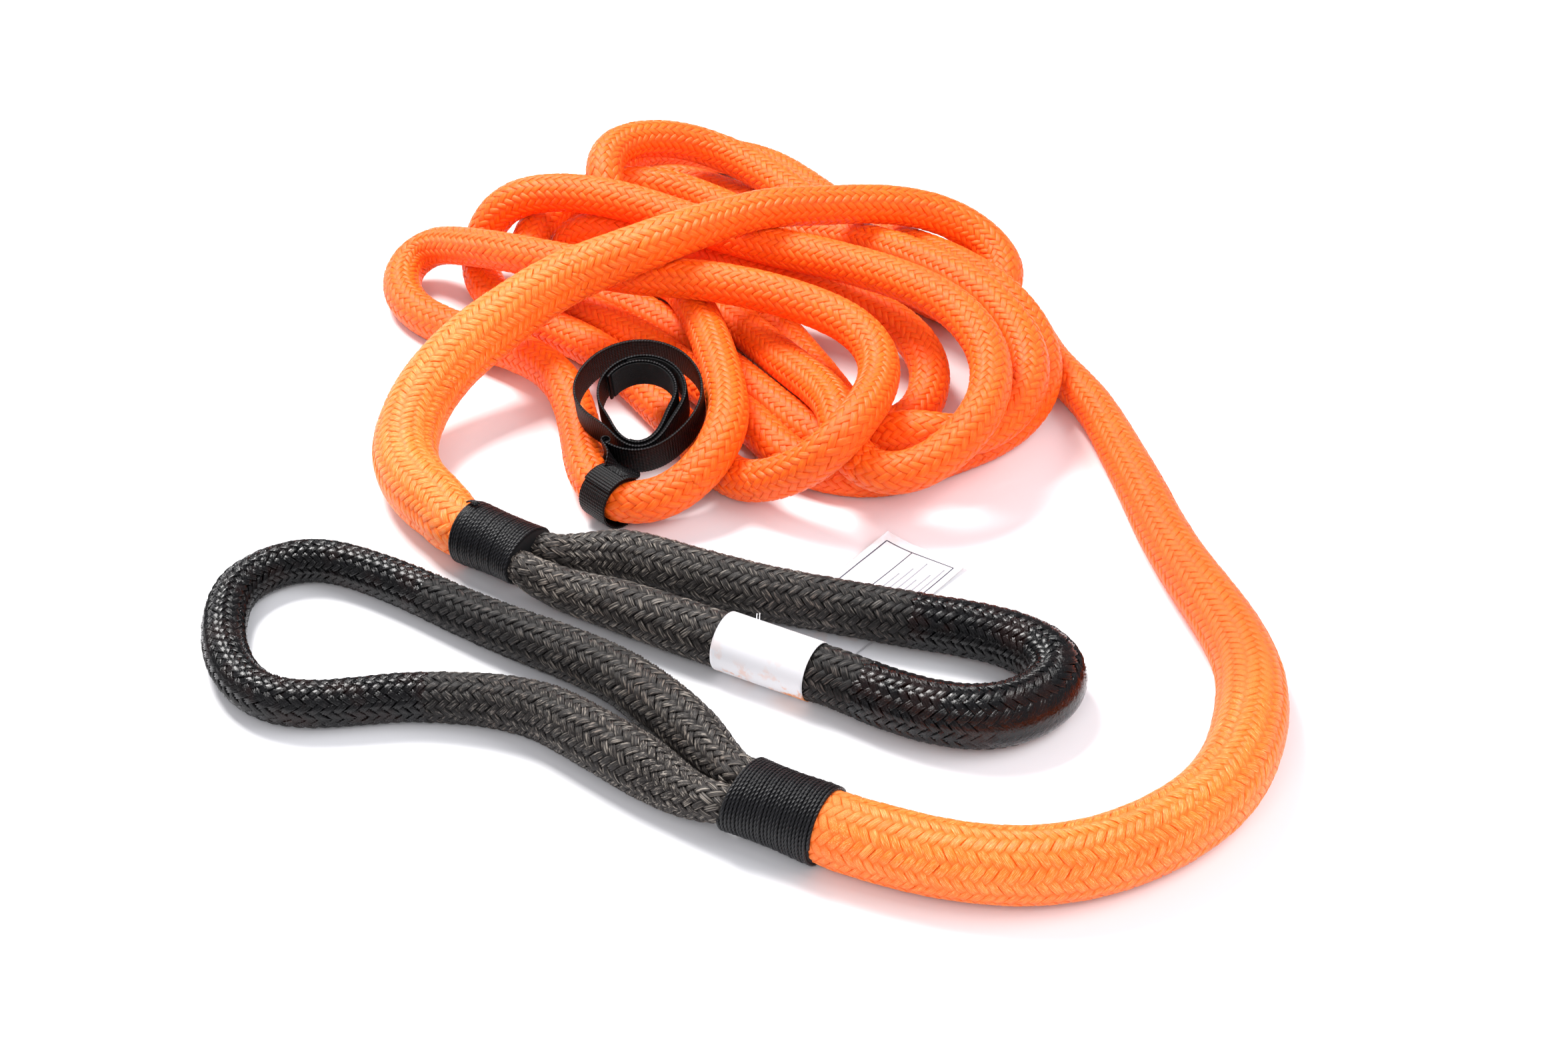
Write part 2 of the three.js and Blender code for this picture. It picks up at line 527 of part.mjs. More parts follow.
// the frame's side axis points to the +Y side of the leg
const labelFrame = levelFrame(
  labelStart.clone().lerp(labelEnd, 0.5),
  direction(labelStart, labelEnd)
);
const labelBore = cornerRadius(LEG_RADIUS + LABEL_GAP, LABEL_SIDES);
const labelOuter = labelBore + LABEL_THICKNESS;

function addLabelSleeve() {
  const { centre, tangent } = labelFrame;
  const points = [-0.5, 0.5].map((share) => (
    centre.clone().addScaledVector(tangent, share * LABEL_LENGTH)));
  const geometry = pipeSweep(points, [labelOuter, labelOuter], [labelBore, labelBore],
    LABEL_SIDES, LABEL_SIDES);
  put('label_sleeve', geometry, paper);
}

// A strip that comes off the +Y side of the sleeve, dips to the ground, passes
// under the other leg and ends in a flat panel.
function addLabelTail() {
  const { clearance, edgeInset, halfThickness, reach, groundZ, shift, taper } = LABEL_TAIL;
  const pathStart = labelOuter + clearance;
  const path = LABEL_TAIL_PATH.map(([distance, z, drift]) => [pathStart + distance, z, drift]);
  path.push([reach, groundZ, 1]);
  const halfWidth = LABEL_LENGTH / 2 - edgeInset;
  const corners = [
    [-halfWidth, halfThickness], [halfWidth, halfThickness],
    [halfWidth, -halfThickness], [-halfWidth, -halfThickness]
  ];
  const sections = path.map(([distance, z, drift], i) => {
    const before = path[Math.max(i - 1, 0)];
    const after = path[Math.min(i + 1, path.length - 1)];
    const run = after[0] - before[0];
    const rise = after[1] - before[1];
    const length = Math.hypot(run, rise);
    return corners.map(([along, height]) => pointAt(
      labelFrame,
      along * (1 - taper * drift) + shift * drift,
      distance - rise / length * height,
      z + run / length * height
    ));
  });
  put('label_tail', solidFromRings(sections), paper);
}

// Short thread on top of the sleeve.
function addLabelThread() {
  const level = labelFrame.centre.z + labelOuter + THREAD_LIFT;
  const points = THREAD.map(([along, across, height]) => (
    pointAt(labelFrame, along, across, level + height)));
  const radii = THREAD.map(([, , , radius]) => radius);
  put('label_thread', solidSweep(points, radii, THREAD_SIDES), paper);
}
addLabelSleeve();
addLabelTail();
addLabelThread();

// ---- storage strap: cinch band round one strand, rolled free part ----
function addCinch() {
  const centre = vector(CINCH_CENTRE);
  const axis = vector(CINCH_AXIS).normalize();
  const points = [-0.5, 0.5].map((share) => (
    centre.clone().addScaledVector(axis, share * WEBBING_WIDTH)));
  const inner = cornerRadius(CINCH_INNER, CINCH_SIDES);
  const outer = cornerRadius(CINCH_INNER + WEBBING_THICKNESS, CINCH_SIDES);
  const band = pipeSweep(points, [outer, outer], [inner, inner], CINCH_SIDES, CINCH_SIDES);
  put('strap_cinch', band, webBlack);

  // bar-tack stitching on the top facet
  const { endMargin, width, thickness, lift } = STITCHING;
  const bar = new THREE.BoxGeometry(WEBBING_WIDTH - 2 * endMargin, width, thickness);
  const stitching = put('strap_stitching', bar, webBlack);
  stitching.position.copy(centre).setZ(centre.z + CINCH_INNER + WEBBING_THICKNESS + lift);
  stitching.rotation.z = Math.atan2(axis.y, axis.x);
}

// Strip following the roll's spiral between two angles from its outer end.
function addRolled(name, { from, to, offset, thickness, width, segments }) {
  const edge = (shift) => Array.from({ length: segments + 1 }, (_, i) => {
    const turned = from + (to - from) * i / segments;
    const radius = ROLL_OUTER + (ROLL_INNER - ROLL_OUTER) * turned / ROLL_ANGLE
      + offset + shift;
    const angle = ROLL_START + turned;
    return new THREE.Vector2(radius * Math.cos(angle), radius * Math.sin(angle));
  });
  const shape = new THREE.Shape([...edge(thickness / 2), ...edge(-thickness / 2).reverse()]);
  const geometry = new THREE.ExtrudeGeometry(shape, { depth: width, bevelEnabled: false });
  geometry.translate(0, 0, -width / 2);
  const mesh = put(name, geometry, webBlack);
  mesh.rotation.x = ROLL_TILT;
  mesh.position.copy(vector(ROLL_CENTRE));
}

addCinch();
addRolled('strap_roll', {
  from: 0,
  to: ROLL_ANGLE,
  offset: 0,
  thickness: WEBBING_THICKNESS,
  width: WEBBING_WIDTH,
  segments: ROLL_SEGMENTS
});
// both patches are on the inner face: hook near the inner end, loop further out
addRolled('strap_hook_patch', { from: ROLL_ANGLE - 1.9, to: ROLL_ANGLE - 0.15, ...PATCH });
addRolled('strap_loop_patch', { from: ROLL_ANGLE - 9.2, to: ROLL_ANGLE - 7.2, ...PATCH });

export default group;
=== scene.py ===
"""A hank of orange braided rope lying on the floor.

Both ends of the rope run into a black whipping and a spliced eye in a dark sleeve, tagged "f"
and "r". Eye r carries a paper label, and a webbing strap with a rolled free end is cinched
round the rope. Lengths are in millimetres unless a comment says metres; the floor is at z = 0,
+Z is up, and the camera stands on the -Y side.
"""
import math
import bpy
import numpy as np
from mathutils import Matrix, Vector


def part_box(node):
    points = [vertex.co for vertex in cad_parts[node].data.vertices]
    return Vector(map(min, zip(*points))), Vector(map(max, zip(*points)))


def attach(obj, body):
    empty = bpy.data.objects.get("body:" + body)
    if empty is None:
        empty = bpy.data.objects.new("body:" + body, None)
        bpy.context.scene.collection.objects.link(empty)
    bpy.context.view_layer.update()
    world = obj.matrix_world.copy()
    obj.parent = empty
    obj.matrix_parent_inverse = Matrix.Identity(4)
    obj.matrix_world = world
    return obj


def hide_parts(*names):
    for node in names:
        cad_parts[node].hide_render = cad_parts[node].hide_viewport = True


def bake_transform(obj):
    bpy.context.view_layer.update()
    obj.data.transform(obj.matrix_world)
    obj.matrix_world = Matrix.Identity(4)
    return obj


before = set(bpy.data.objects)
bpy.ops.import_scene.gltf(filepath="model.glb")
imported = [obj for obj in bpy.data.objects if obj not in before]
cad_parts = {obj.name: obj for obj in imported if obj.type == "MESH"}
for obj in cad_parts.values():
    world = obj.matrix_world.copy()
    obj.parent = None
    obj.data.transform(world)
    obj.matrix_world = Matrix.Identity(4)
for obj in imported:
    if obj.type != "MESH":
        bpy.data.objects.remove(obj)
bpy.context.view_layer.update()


# ------------------------------------------------------------------ measured centrelines
def table(text, columns):
    return np.array(text.split(), float).reshape(-1, columns)


# The rope from whipping r to the coil. Columns: x, y, z, radius.
ROPE_START = table("""
-168.4 -114.6 22.9 21.5  -175.1 -110.2 22.9 22.3  -183.4 -104.6 22.9 22.4  -191.5 -88.5 22.5 22.5
-200.4 -77.3 22.5 22.5  -208.7 -65.7 22.5 22.5  -215.8 -53.3 22.6 22.5  -221.2 -40.1 23.0 22.5
-224.7 -26.3 24.0 22.5  -225.9 -12.2 26.0 22.5  -224.9 2.0 29.0 22.5  -221.9 16.0 32.9 22.5
-217.1 29.5 37.4 22.5  -210.7 42.3 42.1 22.5  -202.9 54.5 46.8 22.5  -193.9 65.8 51.3 22.5
-184.0 76.5 55.6 22.5  -173.6 86.4 59.8 22.1  -162.7 95.6 64.1 21.5  -151.7 104.1 68.5 21.0
-140.5 111.7 72.9 20.5  -129.0 118.0 77.2 20.0  -117.2 122.8 81.2 19.5  -105.2 125.9 85.3 19.1
-93.3 127.7 89.4 18.6  -81.7 129.0 93.7 18.2  -70.6 130.7 97.7 17.8  -59.7 133.8 100.8 17.4
-49.2 138.7 102.6 17.0  -39.1 145.1 103.2 16.6  -29.3 152.3 103.0 16.2  -19.4 159.6 102.7 15.6
-9.2 166.6 102.5 15.0""", 4)
# The plain rope of the coil, all of one radius. Columns: x, y, z.
PLAIN_RADIUS = 14.7
ROPE_COIL = table("""
1.7 173.0 102.4  13.1 179.3 102.1  24.9 185.5 100.7  37.0 191.8 98.1  49.5 198.1 95.2
62.4 204.0 92.6  75.6 209.7 90.2  88.7 215.1 87.8  101.7 220.1 85.0  114.7 224.3 81.7
127.6 227.6 78.0  140.5 229.4 73.7  153.2 229.2 69.0  165.2 226.6 63.7  176.0 221.5 58.2
184.9 214.0 53.0  191.1 204.2 48.7  194.2 193.3 45.4  194.0 182.7 42.1  190.4 174.6 37.4
183.6 171.0 31.4  174.7 172.4 25.4  165.2 177.6 20.9  155.8 185.3 18.0  146.9 194.2 16.3
138.4 203.7 15.5  130.3 213.6 15.1  122.5 223.6 14.9  114.9 233.8 14.6  107.6 244.1 14.2
100.4 254.4 13.9  93.2 264.8 13.7  86.0 275.1 13.6  78.7 285.3 13.6  71.0 295.3 13.6
62.8 304.9 13.6  54.2 314.1 13.6  44.9 322.8 13.6  35.1 330.8 13.6  24.9 338.4 13.6
14.3 345.7 13.6  3.7 353.0 13.6  -6.9 360.6 13.7  -17.4 368.4 14.0  -28.1 375.8 14.6
-39.5 381.8 15.4  -51.7 385.3 16.1  -64.0 385.3 16.3  -74.8 381.1 16.0  -82.0 372.9 15.3
-84.2 362.1 14.5  -82.0 350.4 14.0  -76.8 338.9 13.7  -69.8 327.8 13.6  -62.1 316.9 13.6
-54.1 306.1 13.6  -46.2 295.0 13.6  -38.8 283.4 13.6  -32.0 271.4 13.6  -25.4 259.1 13.6
-18.9 246.7 13.6  -12.3 234.3 13.6  -5.6 221.9 13.6  1.4 209.6 13.6  8.3 197.4 13.6
15.0 185.3 13.6  21.3 173.1 13.6  27.2 160.8 13.6  32.8 148.5 13.7  38.3 136.1 13.8
43.8 123.6 13.8  49.3 111.1 13.7  54.8 98.4 13.6  60.1 85.5 13.6  65.3 72.6 13.6
70.3 59.6 13.6  75.5 47.2 13.6  81.5 36.0 13.6  89.3 27.6 13.6  99.0 24.3 13.6
109.3 27.1 13.7  118.6 35.2 14.1  126.2 46.3 15.3  131.7 59.1 17.5  134.7 72.6 20.6
134.9 86.3 24.1  132.2 99.7 27.6  127.0 112.3 30.7  119.5 124.0 33.2  110.5 134.5 34.9
100.4 144.0 36.0  89.7 152.5 36.7  78.5 160.1 37.4  67.0 166.8 38.3  55.2 172.7 39.3
43.3 177.9 40.5  31.3 182.8 41.8  19.4 187.9 42.8  7.6 193.4 43.3  -4.0 199.6 43.4
-15.4 206.4 43.6  -26.5 213.7 44.1  -37.6 221.1 44.8  -48.9 228.0 45.8  -60.6 233.8 47.1
-72.8 238.5 48.2  -85.4 242.5 48.8  -98.0 246.3 48.6  -110.2 250.3 47.0  -120.7 254.3 43.0
-128.5 256.9 36.5  -132.9 256.2 28.7  -134.2 250.8 22.3  -132.1 241.9 18.5  -126.8 231.4 16.3
-118.9 220.8 14.9  -108.8 210.6 14.0  -97.2 201.1 13.7  -85.1 192.0 13.6  -73.4 182.6 13.6
-62.6 172.5 13.6  -53.1 161.7 13.6  -44.6 150.4 13.6  -36.4 138.9 13.6  -28.1 127.6 13.6
-19.3 116.3 13.7  -10.5 105.1 13.8  -2.1 93.6 13.8  5.9 81.9 13.7  13.7 70.1 13.6
21.6 58.4 13.6  29.6 46.8 13.6  37.7 35.3 13.6  46.0 24.1 13.6  55.1 13.7 13.8
65.3 4.9 15.0  76.4 -1.9 18.5  87.5 -7.1 24.8  98.4 -11.6 32.6  109.9 -16.5 39.0
122.3 -21.1 41.9  135.5 -23.6 41.1  148.7 -22.7 38.8  161.5 -17.9 37.5  173.2 -10.3 38.4
183.4 -0.6 40.9  191.6 10.4 44.2  197.4 22.5 47.8  200.5 35.4 51.2  200.9 48.6 54.5
199.0 61.8 57.8  195.1 74.7 61.1  189.6 87.1 64.2  183.0 98.9 66.9  175.4 110.2 68.9
167.3 121.3 70.1  158.9 132.3 70.3  150.3 143.6 69.6  141.8 155.4 68.1  133.0 167.3 66.1
123.8 179.0 64.0  114.0 190.3 61.8  103.8 201.1 59.5  93.0 211.2 57.2  81.9 220.5 54.6
70.6 229.4 51.8  59.5 238.1 48.8  49.0 246.9 45.7  39.1 256.0 42.6  29.7 265.2 39.8
20.4 274.5 37.3  11.1 283.6 35.5  1.7 292.6 34.4  -7.6 301.2 34.0  -17.2 309.2 34.3
-27.1 316.1 35.4  -37.6 321.5 37.2  -48.8 325.3 39.6  -60.8 327.7 42.0  -73.4 329.1 43.5
-86.5 329.3 43.8  -99.5 327.6 43.6  -111.7 323.3 43.2  -122.5 316.4 42.7  -132.0 307.5 42.1
-140.8 297.5 41.3  -149.2 286.7 40.0  -156.6 274.9 37.8  -161.5 261.8 34.4  -162.6 247.6 30.2
-160.0 233.4 26.2  -154.5 220.0 23.3  -146.9 208.0 21.5  -138.0 197.4 20.5  -128.4 187.8 19.6
-118.5 178.9 18.8  -108.4 170.1 18.2  -98.2 161.1 17.9  -88.0 151.5 18.0  -78.0 141.3 18.4
-68.5 130.5 19.0  -59.3 119.5 19.5  -50.6 108.3 19.7  -42.3 97.3 19.5  -34.3 86.2 19.0
-26.3 75.0 18.6  -18.3 63.8 18.4  -10.3 52.4 18.6  -2.4 41.1 18.9  5.3 29.9 18.9
12.7 18.9 18.4  19.8 8.0 17.5  26.9 -2.6 16.4  34.9 -12.4 15.2  44.5 -20.7 14.3
55.8 -27.0 13.8  68.5 -31.5 13.6  81.8 -34.0 13.6  95.3 -33.8 13.6  108.3 -30.2 13.6
120.4 -23.6 13.6  132.0 -15.5 13.6  143.8 -7.4 13.6  156.2 0.2 13.7  168.6 8.0 14.2
180.4 16.6 15.5  191.0 26.3 17.7  200.0 37.1 20.7  206.9 48.7 24.2  211.6 61.1 28.0
213.7 73.9 32.4  213.0 86.8 37.2  209.8 99.6 42.3  204.4 111.9 47.2  197.5 123.8 51.5
189.8 135.3 54.7  181.8 146.5 56.6  173.9 157.6 57.1  166.4 168.6 56.6  159.0 179.6 55.2
151.6 190.4 53.5  143.9 200.9 51.7  135.7 210.9 49.9  127.1 220.5 48.2  118.2 229.6 46.6
109.1 238.6 45.2  99.9 247.3 44.0  90.6 256.0 43.0  81.4 264.8 42.1  72.4 273.8 41.5
63.9 283.2 41.2  56.0 293.1 41.3  48.6 303.3 41.6  41.2 313.6 42.2  33.8 323.8 42.9
26.1 334.0 43.6  18.0 343.8 44.2  9.4 353.0 45.0  0.2 361.3 46.1  -9.7 367.9 47.8
-20.3 372.1 50.5  -31.4 373.4 54.2  -43.0 372.2 58.5  -55.0 369.0 62.7  -67.2 364.2 66.3
-79.0 357.8 69.1  -89.5 349.6 71.1  -97.7 339.6 72.3  -103.1 328.4 72.7  -106.0 317.0 71.7
-106.9 306.2 69.0  -106.3 296.8 64.1  -104.7 289.1 56.8  -102.6 282.9 47.8  -100.0 276.6 38.4
-96.7 268.9 30.1  -92.5 259.5 24.1  -87.4 248.9 20.7  -81.4 237.8 20.0  -75.0 226.6 21.7
-68.2 215.9 25.3  -61.0 205.6 29.9  -54.1 195.0 34.4  -48.0 183.6 38.1  -42.7 171.4 40.5
-38.2 158.6 42.1  -34.0 145.4 43.0  -30.2 132.0 43.6  -26.7 118.4 44.2  -23.5 104.6 45.1
-20.5 90.7 46.2  -17.7 76.8 47.2  -15.1 62.9 48.0  -12.7 49.2 48.2  -10.4 35.5 48.0
-8.5 21.9 47.7  -7.1 8.3 47.6  -6.5 -5.4 47.4  -7.0 -18.9 46.6  -9.4 -32.1 44.7
-14.2 -44.2 41.0  -21.3 -54.8 35.9  -30.4 -63.4 30.3  -41.1 -69.9 25.4  -53.2 -73.8 21.6
-65.8 -74.3 19.5  -77.7 -70.6 18.8  -87.5 -62.7 18.6  -94.7 -51.7 18.6  -99.6 -38.7 18.6
-103.0 -24.8 17.8  -105.4 -10.4 17.5  -107.6 4.1 17.5  -109.8 18.7 17.9  -112.4 33.1 18.7
-115.9 47.3 19.6  -120.3 61.0 20.5  -125.9 74.2 21.2  -132.9 86.7 21.5  -141.4 98.0 21.5
-151.3 108.3 20.9  -162.0 117.6 20.0  -172.9 126.4 18.7  -183.8 135.1 17.3  -194.5 143.8 16.1
-205.2 152.5 15.0  -215.9 161.0 14.2  -226.4 169.8 13.8  -236.2 179.2 13.8  -244.6 189.5 14.0
-251.0 200.9 14.3  -255.3 213.1 14.8  -257.4 225.6 15.7  -256.8 237.6 17.5  -253.0 247.5 20.5
-246.0 253.3 24.8  -237.3 253.4 29.6  -228.7 248.6 34.4  -220.6 241.2 38.7  -212.6 233.0 42.6
-204.4 224.8 46.4  -195.9 216.6 50.0  -186.9 208.6 53.2  -177.4 200.8 56.0  -167.1 193.4 58.2
-156.3 186.3 60.0  -144.8 179.5 61.4  -132.8 173.1 62.5  -120.2 166.9 63.4  -107.1 161.0 64.0
-93.5 155.2 64.7  -79.7 149.4 65.8  -65.7 143.5 67.4  -51.7 137.6 69.7  -37.9 131.6 72.1
-24.0 125.8 74.0  -10.2 120.1 74.9  3.5 114.4 75.2  17.0 108.3 75.3  30.3 101.6 75.1
43.2 94.2 74.7  55.8 86.0 74.1  67.7 76.9 73.3  78.4 66.6 72.1  87.0 55.0 70.5
93.0 41.9 68.8  95.9 28.0 67.5  96.3 13.7 66.9  94.7 -0.7 67.2  91.7 -14.8 68.1
87.8 -28.4 69.3  83.1 -41.2 69.9  77.6 -52.6 69.2  71.2 -61.5 66.0  63.8 -66.8 60.3
55.4 -68.3 52.6  46.0 -67.0 44.2  35.6 -64.1 36.3  24.8 -59.8 29.2  14.5 -53.8 23.0
5.4 -46.2 18.2  -2.5 -37.2 15.1  -9.5 -27.4 13.9  -16.0 -16.9 13.6  -22.3 -5.9 13.6
-28.5 5.6 13.6  -35.0 17.4 13.6  -41.7 29.3 13.7  -48.5 41.1 13.9  -55.5 52.9 14.1
-62.4 64.6 14.3  -69.4 76.3 14.6  -76.5 87.8 14.9  -83.8 99.1 15.4  -91.6 110.0 15.8
-100.1 120.4 16.2  -109.5 130.4 16.4  -119.7 140.0 16.3  -130.3 149.4 15.9  -141.2 158.8 15.5
-151.9 168.4 15.1  -162.4 178.2 14.7  -172.2 188.4 14.4  -180.9 199.3 14.2  -188.0 211.0 14.3
-193.6 223.3 14.6  -197.6 235.6 15.6  -199.8 247.4 18.5  -200.1 257.2 24.4  -197.9 264.0 33.4
-192.7 267.6 43.9  -184.8 268.6 53.9  -174.7 267.8 61.9  -163.1 265.6 67.7  -150.9 262.3 71.6
-138.6 258.1 74.5  -126.2 253.3 76.5  -113.7 248.1 77.8  -101.2 242.7 78.5  -88.8 237.3 78.3
-76.8 231.9 77.5  -65.0 226.4 76.3  -53.6 220.7 75.1  -42.4 214.7 74.2  -31.3 208.4 73.6
-20.2 201.9 73.2  -9.0 195.4 73.0  2.3 189.1 72.8  13.6 182.9 72.6  25.1 176.7 72.7
36.5 170.4 73.5  48.0 163.6 74.6  59.4 156.3 75.7  70.7 148.5 76.8  82.0 140.3 78.0
93.1 131.6 79.3  104.0 122.3 80.6  114.6 112.5 81.8  124.9 102.1 82.9  134.8 91.0 83.5
144.2 79.3 83.5  152.8 66.8 82.7  160.3 53.5 80.9  166.2 39.5 78.5  170.1 24.9 75.5
171.6 10.0 72.5  170.7 -4.9 69.5  167.6 -19.4 66.6  162.4 -32.7 63.3  155.3 -44.1 59.3
146.8 -53.5 54.6  137.4 -60.9 50.0  127.2 -66.6 45.8  116.3 -69.9 42.4  105.2 -70.2 40.0
94.7 -66.9 38.8  85.7 -60.4 38.8  78.7 -51.5 40.1  73.8 -41.0 42.3  70.8 -29.5 44.4
69.1 -17.3 45.8  67.8 -4.6 45.6  65.8 8.5 43.8  62.7 21.9 41.1  57.9 35.5 38.4
52.0 49.1 36.1  45.2 62.7 33.9  38.1 76.3 31.8  30.9 89.9 29.9  23.7 103.5 28.1
16.5 117.1 26.6  9.4 130.8 25.3  2.4 144.5 24.0  -4.5 158.1 22.6  -11.6 171.5 20.9
-18.9 184.6 18.9  -26.3 197.5 16.8  -33.7 210.4 15.2  -40.7 223.5 14.3  -47.6 236.6 13.9
-54.4 249.6 13.8  -61.5 262.4 13.7  -69.1 274.7 13.6  -77.2 286.6 13.7  -85.7 298.2 13.7
-94.0 309.8 13.7  -101.8 321.7 13.7  -108.4 334.2 14.0  -113.2 347.2 15.0  -115.4 360.7 16.3
-114.6 374.2 17.7  -111.3 387.4 19.0  -106.2 399.9 20.2  -99.9 411.6 21.2  -92.4 422.2 21.8
-83.0 430.7 21.6  -71.6 436.3 20.5  -59.0 439.0 18.9  -45.8 439.1 17.1  -32.5 437.4 15.8
-19.2 434.3 15.2  -6.2 430.0 15.0  6.1 424.2 15.1  17.4 416.8 15.0  27.5 407.9 14.7
36.5 397.8 14.3  44.8 387.1 14.0  52.7 376.1 13.8  60.5 364.8 13.6  68.1 353.5 13.6
75.8 342.2 13.6  83.6 330.9 13.6  91.4 319.7 13.6  99.3 308.6 13.6  107.2 297.4 13.6
115.1 286.1 13.6  122.9 274.8 13.6  130.8 263.5 13.6  138.8 252.2 13.6  147.2 241.2 13.6
156.3 230.6 13.6  166.0 220.5 13.6  176.3 210.9 13.6  186.8 201.3 13.6  196.9 191.1 13.6
205.1 179.5 13.6  210.7 166.3 13.6  214.3 152.0 13.6  217.4 137.3 13.6  221.1 122.9 13.6
225.9 108.7 13.6  231.8 95.1 13.6  237.9 81.9 13.6  243.5 68.7 13.6  248.3 55.6 13.6
252.2 42.3 13.6""", 3)
# The rope from the coil to whipping f. Columns: x, y, z, radius.
ROPE_END = table("""
255.4 29.0 13.8 14.8  258.1 15.6 14.0 15.1  260.6 2.2 14.4 15.4  262.9 -11.2 14.9 15.7
265.3 -24.6 15.5 15.9  267.7 -38.1 16.1 16.2  270.0 -51.6 16.6 16.5  272.2 -65.2 16.9 16.7
274.4 -78.9 17.0 16.9  276.7 -92.7 17.1 17.1  279.3 -106.4 17.3 17.4  282.2 -120.2 17.5 17.6
285.5 -133.9 17.7 17.9  289.0 -147.7 18.0 18.3  292.8 -161.4 18.4 18.7  296.8 -175.2 18.8 19.1
300.8 -189.0 19.1 19.5  304.5 -202.9 19.5 19.8  307.7 -217.0 19.9 20.1  310.3 -231.2 20.4 20.4
312.0 -245.4 20.8 20.7  312.6 -259.8 21.3 21.1  311.9 -274.1 21.7 21.6  310.0 -288.3 22.1 22.1
307.3 -302.3 22.5 22.5  303.7 -316.0 22.5 22.5  299.4 -329.4 22.5 22.5  294.2 -342.5 22.5 22.5
287.9 -354.9 22.5 22.5  280.5 -366.7 22.5 22.5  271.9 -377.7 22.5 22.5  262.2 -387.7 22.5 22.5
251.7 -396.8 22.5 22.5  240.5 -405.1 22.5 22.5  228.6 -412.4 22.5 22.5  216.2 -418.7 22.5 22.5
203.2 -423.9 22.5 22.5  189.9 -427.7 22.5 22.5  176.2 -430.1 22.5 22.5  162.4 -430.9 22.5 22.5
148.5 -430.2 22.5 22.5  134.7 -428.3 22.5 22.5  121.0 -425.3 22.5 22.5  107.7 -421.4 22.5 22.5
94.6 -416.6 22.6 22.5  81.7 -411.4 22.7 22.5  66.8 -405.3 22.9 22.4  58.2 -400.2 22.9 22.3
51.3 -396.2 22.9 21.5""", 4)
# The eyes, from whipping out and round and back. Columns: x, y, z, radius.
EYE_F = table("""
23.7 -363.4 22.9 11.2  13.3 -357.3 22.9 12.0  3.0 -351.2 22.9 12.4  -2.6 -344.9 18.2 13.5
-6.5 -336.9 15.5 14.6  -9.9 -328.5 15.7 15.6  -13.9 -320.5 16.7 16.7  -18.8 -313.1 17.5 17.7
-24.5 -306.1 17.9 17.9  -30.5 -299.2 18.2 18.2  -36.5 -292.4 18.4 18.4  -42.5 -285.5 18.5 18.6
-48.2 -278.6 18.4 18.4  -53.9 -271.7 18.2 18.1  -59.7 -265.0 17.9 17.8  -65.8 -258.7 17.6 17.6
-72.4 -252.8 17.4 17.4  -79.4 -247.2 17.2 17.3  -86.7 -242.0 17.1 17.1  -94.2 -236.9 17.0 17.0
-101.8 -232.0 16.8 16.8  -109.4 -227.1 16.7 16.7  -117.1 -222.4 16.5 16.5
-124.8 -217.8 16.4 16.3  -132.5 -213.1 16.2 16.2  -140.1 -208.4 16.0 16.0
-147.6 -203.5 15.8 15.8  -155.0 -198.5 15.7 15.7  -162.4 -193.4 15.5 15.5
-169.7 -188.3 15.3 15.3  -177.0 -183.1 15.2 15.2  -184.3 -177.8 15.1 15.1
-191.5 -172.5 15.0 15.0  -198.8 -167.2 14.9 14.9  -206.2 -162.0 14.8 14.9
-213.8 -157.0 14.7 14.8  -221.5 -152.2 14.7 14.7  -229.4 -147.5 14.6 14.5
-237.2 -143.1 14.5 14.4  -245.1 -139.1 14.4 14.3  -253.4 -135.6 14.4 14.3
-261.8 -133.1 14.5 14.3  -270.4 -132.0 14.5 14.3  -279.2 -132.7 14.5 14.3
-287.8 -135.3 14.5 14.3  -295.8 -139.4 14.5 14.3  -302.8 -144.9 14.5 14.3
-308.8 -151.6 14.5 14.3  -313.5 -159.2 14.5 14.4  -316.8 -167.6 14.5 14.4
-318.4 -176.4 14.5 14.4  -318.8 -185.4 14.5 14.4  -318.3 -194.5 14.4 14.4
-317.3 -203.5 14.4 14.4  -315.8 -212.6 14.4 14.4  -313.7 -221.4 14.3 14.4
-311.1 -230.1 14.3 14.4  -307.9 -238.5 14.3 14.4  -304.1 -246.6 14.3 14.4
-299.4 -254.2 14.3 14.4  -293.9 -261.2 14.3 14.4  -287.5 -267.3 14.4 14.4
-280.3 -272.2 14.4 14.5  -272.3 -275.9 14.4 14.6  -263.8 -278.3 14.5 14.6
-255.1 -279.3 14.6 14.7  -246.1 -279.3 14.7 14.7  -237.0 -278.6 14.8 14.8
-227.9 -277.6 14.9 14.9  -218.8 -276.3 15.0 15.0  -209.6 -275.1 15.1 15.1
-200.5 -274.1 15.3 15.2  -191.4 -273.7 15.4 15.3  -182.4 -273.8 15.6 15.6
-173.5 -274.4 15.8 15.8  -164.8 -275.3 16.0 16.0  -156.1 -276.5 16.4 16.3
-147.4 -278.1 16.7 16.6  -138.8 -280.2 17.0 16.9  -130.2 -282.8 17.2 17.2
-121.8 -285.9 17.4 17.4  -113.8 -289.7 17.7 17.7  -106.4 -294.4 18.1 18.0
-99.5 -299.7 18.4 18.3  -92.8 -305.4 18.6 18.5  -85.9 -311.2 18.7 18.6  -79.0 -317.1 18.8 18.7
-72.1 -323.1 18.9 18.8  -65.0 -329.1 18.8 18.9  -57.9 -334.9 18.8 18.9  -50.8 -340.6 18.6 18.9
-43.6 -346.3 17.8 17.8  -37.0 -352.3 16.8 16.7  -31.4 -359.1 15.7 15.6  -25.5 -365.7 15.5 14.6
-18.8 -371.3 18.2 13.5  -11.5 -375.9 22.9 12.4  -1.2 -382.0 22.9 12.0  9.2 -388.0 22.9 11.2
""", 4)
